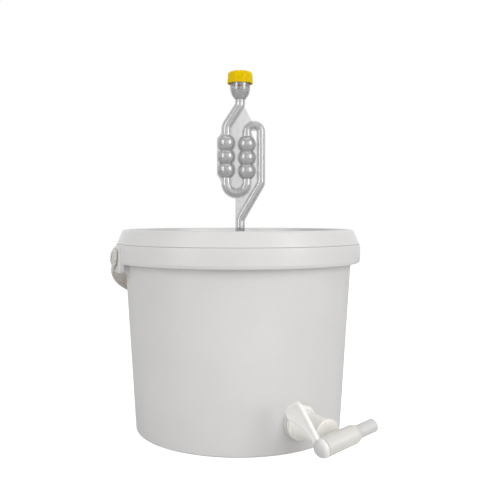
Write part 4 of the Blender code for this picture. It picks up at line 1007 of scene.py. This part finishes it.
studio = {
    "lens": 51.75, "sensor": 36, "frameShift": 2 / 480, "nearest": 0.01,
    "camera": (0, -0.645, 0.1935), "nod": 0.0315, "fillLight": 0.42, "background": 1.0,
    # place, aim, size and watts of each lamp
    "lamps": {
        "leftBox": ((-0.94, -0.90, 0.55), (0, 0, 0.12), (0.55, 1.0), 5.3),
        "rightBox": ((1.00, -0.85, 0.60), (0, 0, 0.12), (0.55, 1.0), 5.6),
        "frontPanel": ((0.90, -1.28, 0.55), (0, 0, 0.12), (2.2, 1.4), 6.3),
        "backPanel": ((-0.2, 1.4, 0.35), (0, 0, 0.12), (1.8, 0.6), 0.9),
        "topPanel": ((0.1, -0.1, 1.4), (0, 0, 0.15), (1.2, 1.2), 3.0),
    },
    "floorHalf": 3.0, "floorDrop": 0.0002, "floorColour": (0.8, 0.8, 0.8, 1.0), "floorGlow": 0.8,
}


# Camera, soft boxes, and a world that is white to look at and dim as a light
def makeStudio():
    scene = bpy.context.scene
    camera = bpy.data.cameras.new("camera")
    camera.lens, camera.sensor_width = studio["lens"], studio["sensor"]
    camera.shift_x, camera.clip_start = studio["frameShift"], studio["nearest"]
    holder = bpy.data.objects.new("camera", camera)
    holder.location = studio["camera"]
    holder.rotation_euler = (math.pi / 2 - studio["nod"], 0, 0)
    scene.collection.objects.link(holder)
    scene.camera = holder
    for name, (place, aim, size, power) in studio["lamps"].items():
        lamp = bpy.data.lights.new(name, "AREA")
        lamp.shape, lamp.size, lamp.size_y, lamp.energy = "RECTANGLE", *size, power
        stand = bpy.data.objects.new(name, lamp)
        stand.location = place
        stand.rotation_euler = (Vector(aim) - Vector(place)).to_track_quat("-Z", "Y").to_euler()
        scene.collection.objects.link(stand)
    world = bpy.data.worlds.new("studio")
    scene.world = world
    world.use_nodes = True
    nodes = Nodes(world.node_tree)
    path = nodes.node("LightPath")
    seen = Field(nodes, path.outputs["Is Camera Ray"])
    for ray in ("Is Glossy Ray", "Is Transmission Ray"):
        seen = seen.reckon("MAXIMUM", seen, path.outputs[ray])
    dim, white = (nodes.node("Background", None, {"Color": (1, 1, 1, 1), "Strength": strength})
                  for strength in (studio["fillLight"], studio["background"]))
    either = nodes.node("MixShader", None, {0: seen, 1: dim.outputs[0], 2: white.outputs[0]})
    nodes.node("OutputWorld", None, {"Surface": either.outputs[0]})
    scene.view_settings.view_transform = "Standard"
    makeFloor(scene)


# Pale floor that shows the object's shadow on white
def makeFloor(scene):
    corners = np.array([(-1, -1, 0), (1, -1, 0), (1, 1, 0), (-1, 1, 0)]) * studio["floorHalf"]
    mesh = bpy.data.meshes.new("floor")
    mesh.from_pydata(corners, [], [(0, 1, 2, 3)])
    floor = bpy.data.objects.new("floor", mesh)
    floor.location.z = -studio["floorDrop"]
    scene.collection.objects.link(floor)
    finish = Finish("floorWhite")
    matte = finish.node("BsdfDiffuse", None, {"Color": studio["floorColour"]}).outputs[0]
    glow = finish.node("Emission", None, {"Strength": studio["floorGlow"]}).outputs[0]
    lit = finish.node("AddShader", None, {0: matte, 1: glow}).outputs[0]
    seen = finish.node("LightPath").outputs["Is Camera Ray"]
    mixed = finish.node("MixShader", None, {0: seen, 1: matte, 2: lit})
    mesh.materials.append(finish.done(mixed.outputs[0]))


stages = {
    "bucket": makeBucket, "lid": makeLid, "lid seals": makeLidSeals, "airlock": makeAirlock,
    "airlock cap": makeAirlockCap, "handle": makeHandle, "tap body": makeTapBody, "tap lever": makeTapLever,
    "tap fittings": makeTapFittings, "studio": makeStudio,
}
for label, make in stages.items():
    print("making the", label)
    make()

bpy.context.view_layer.update()
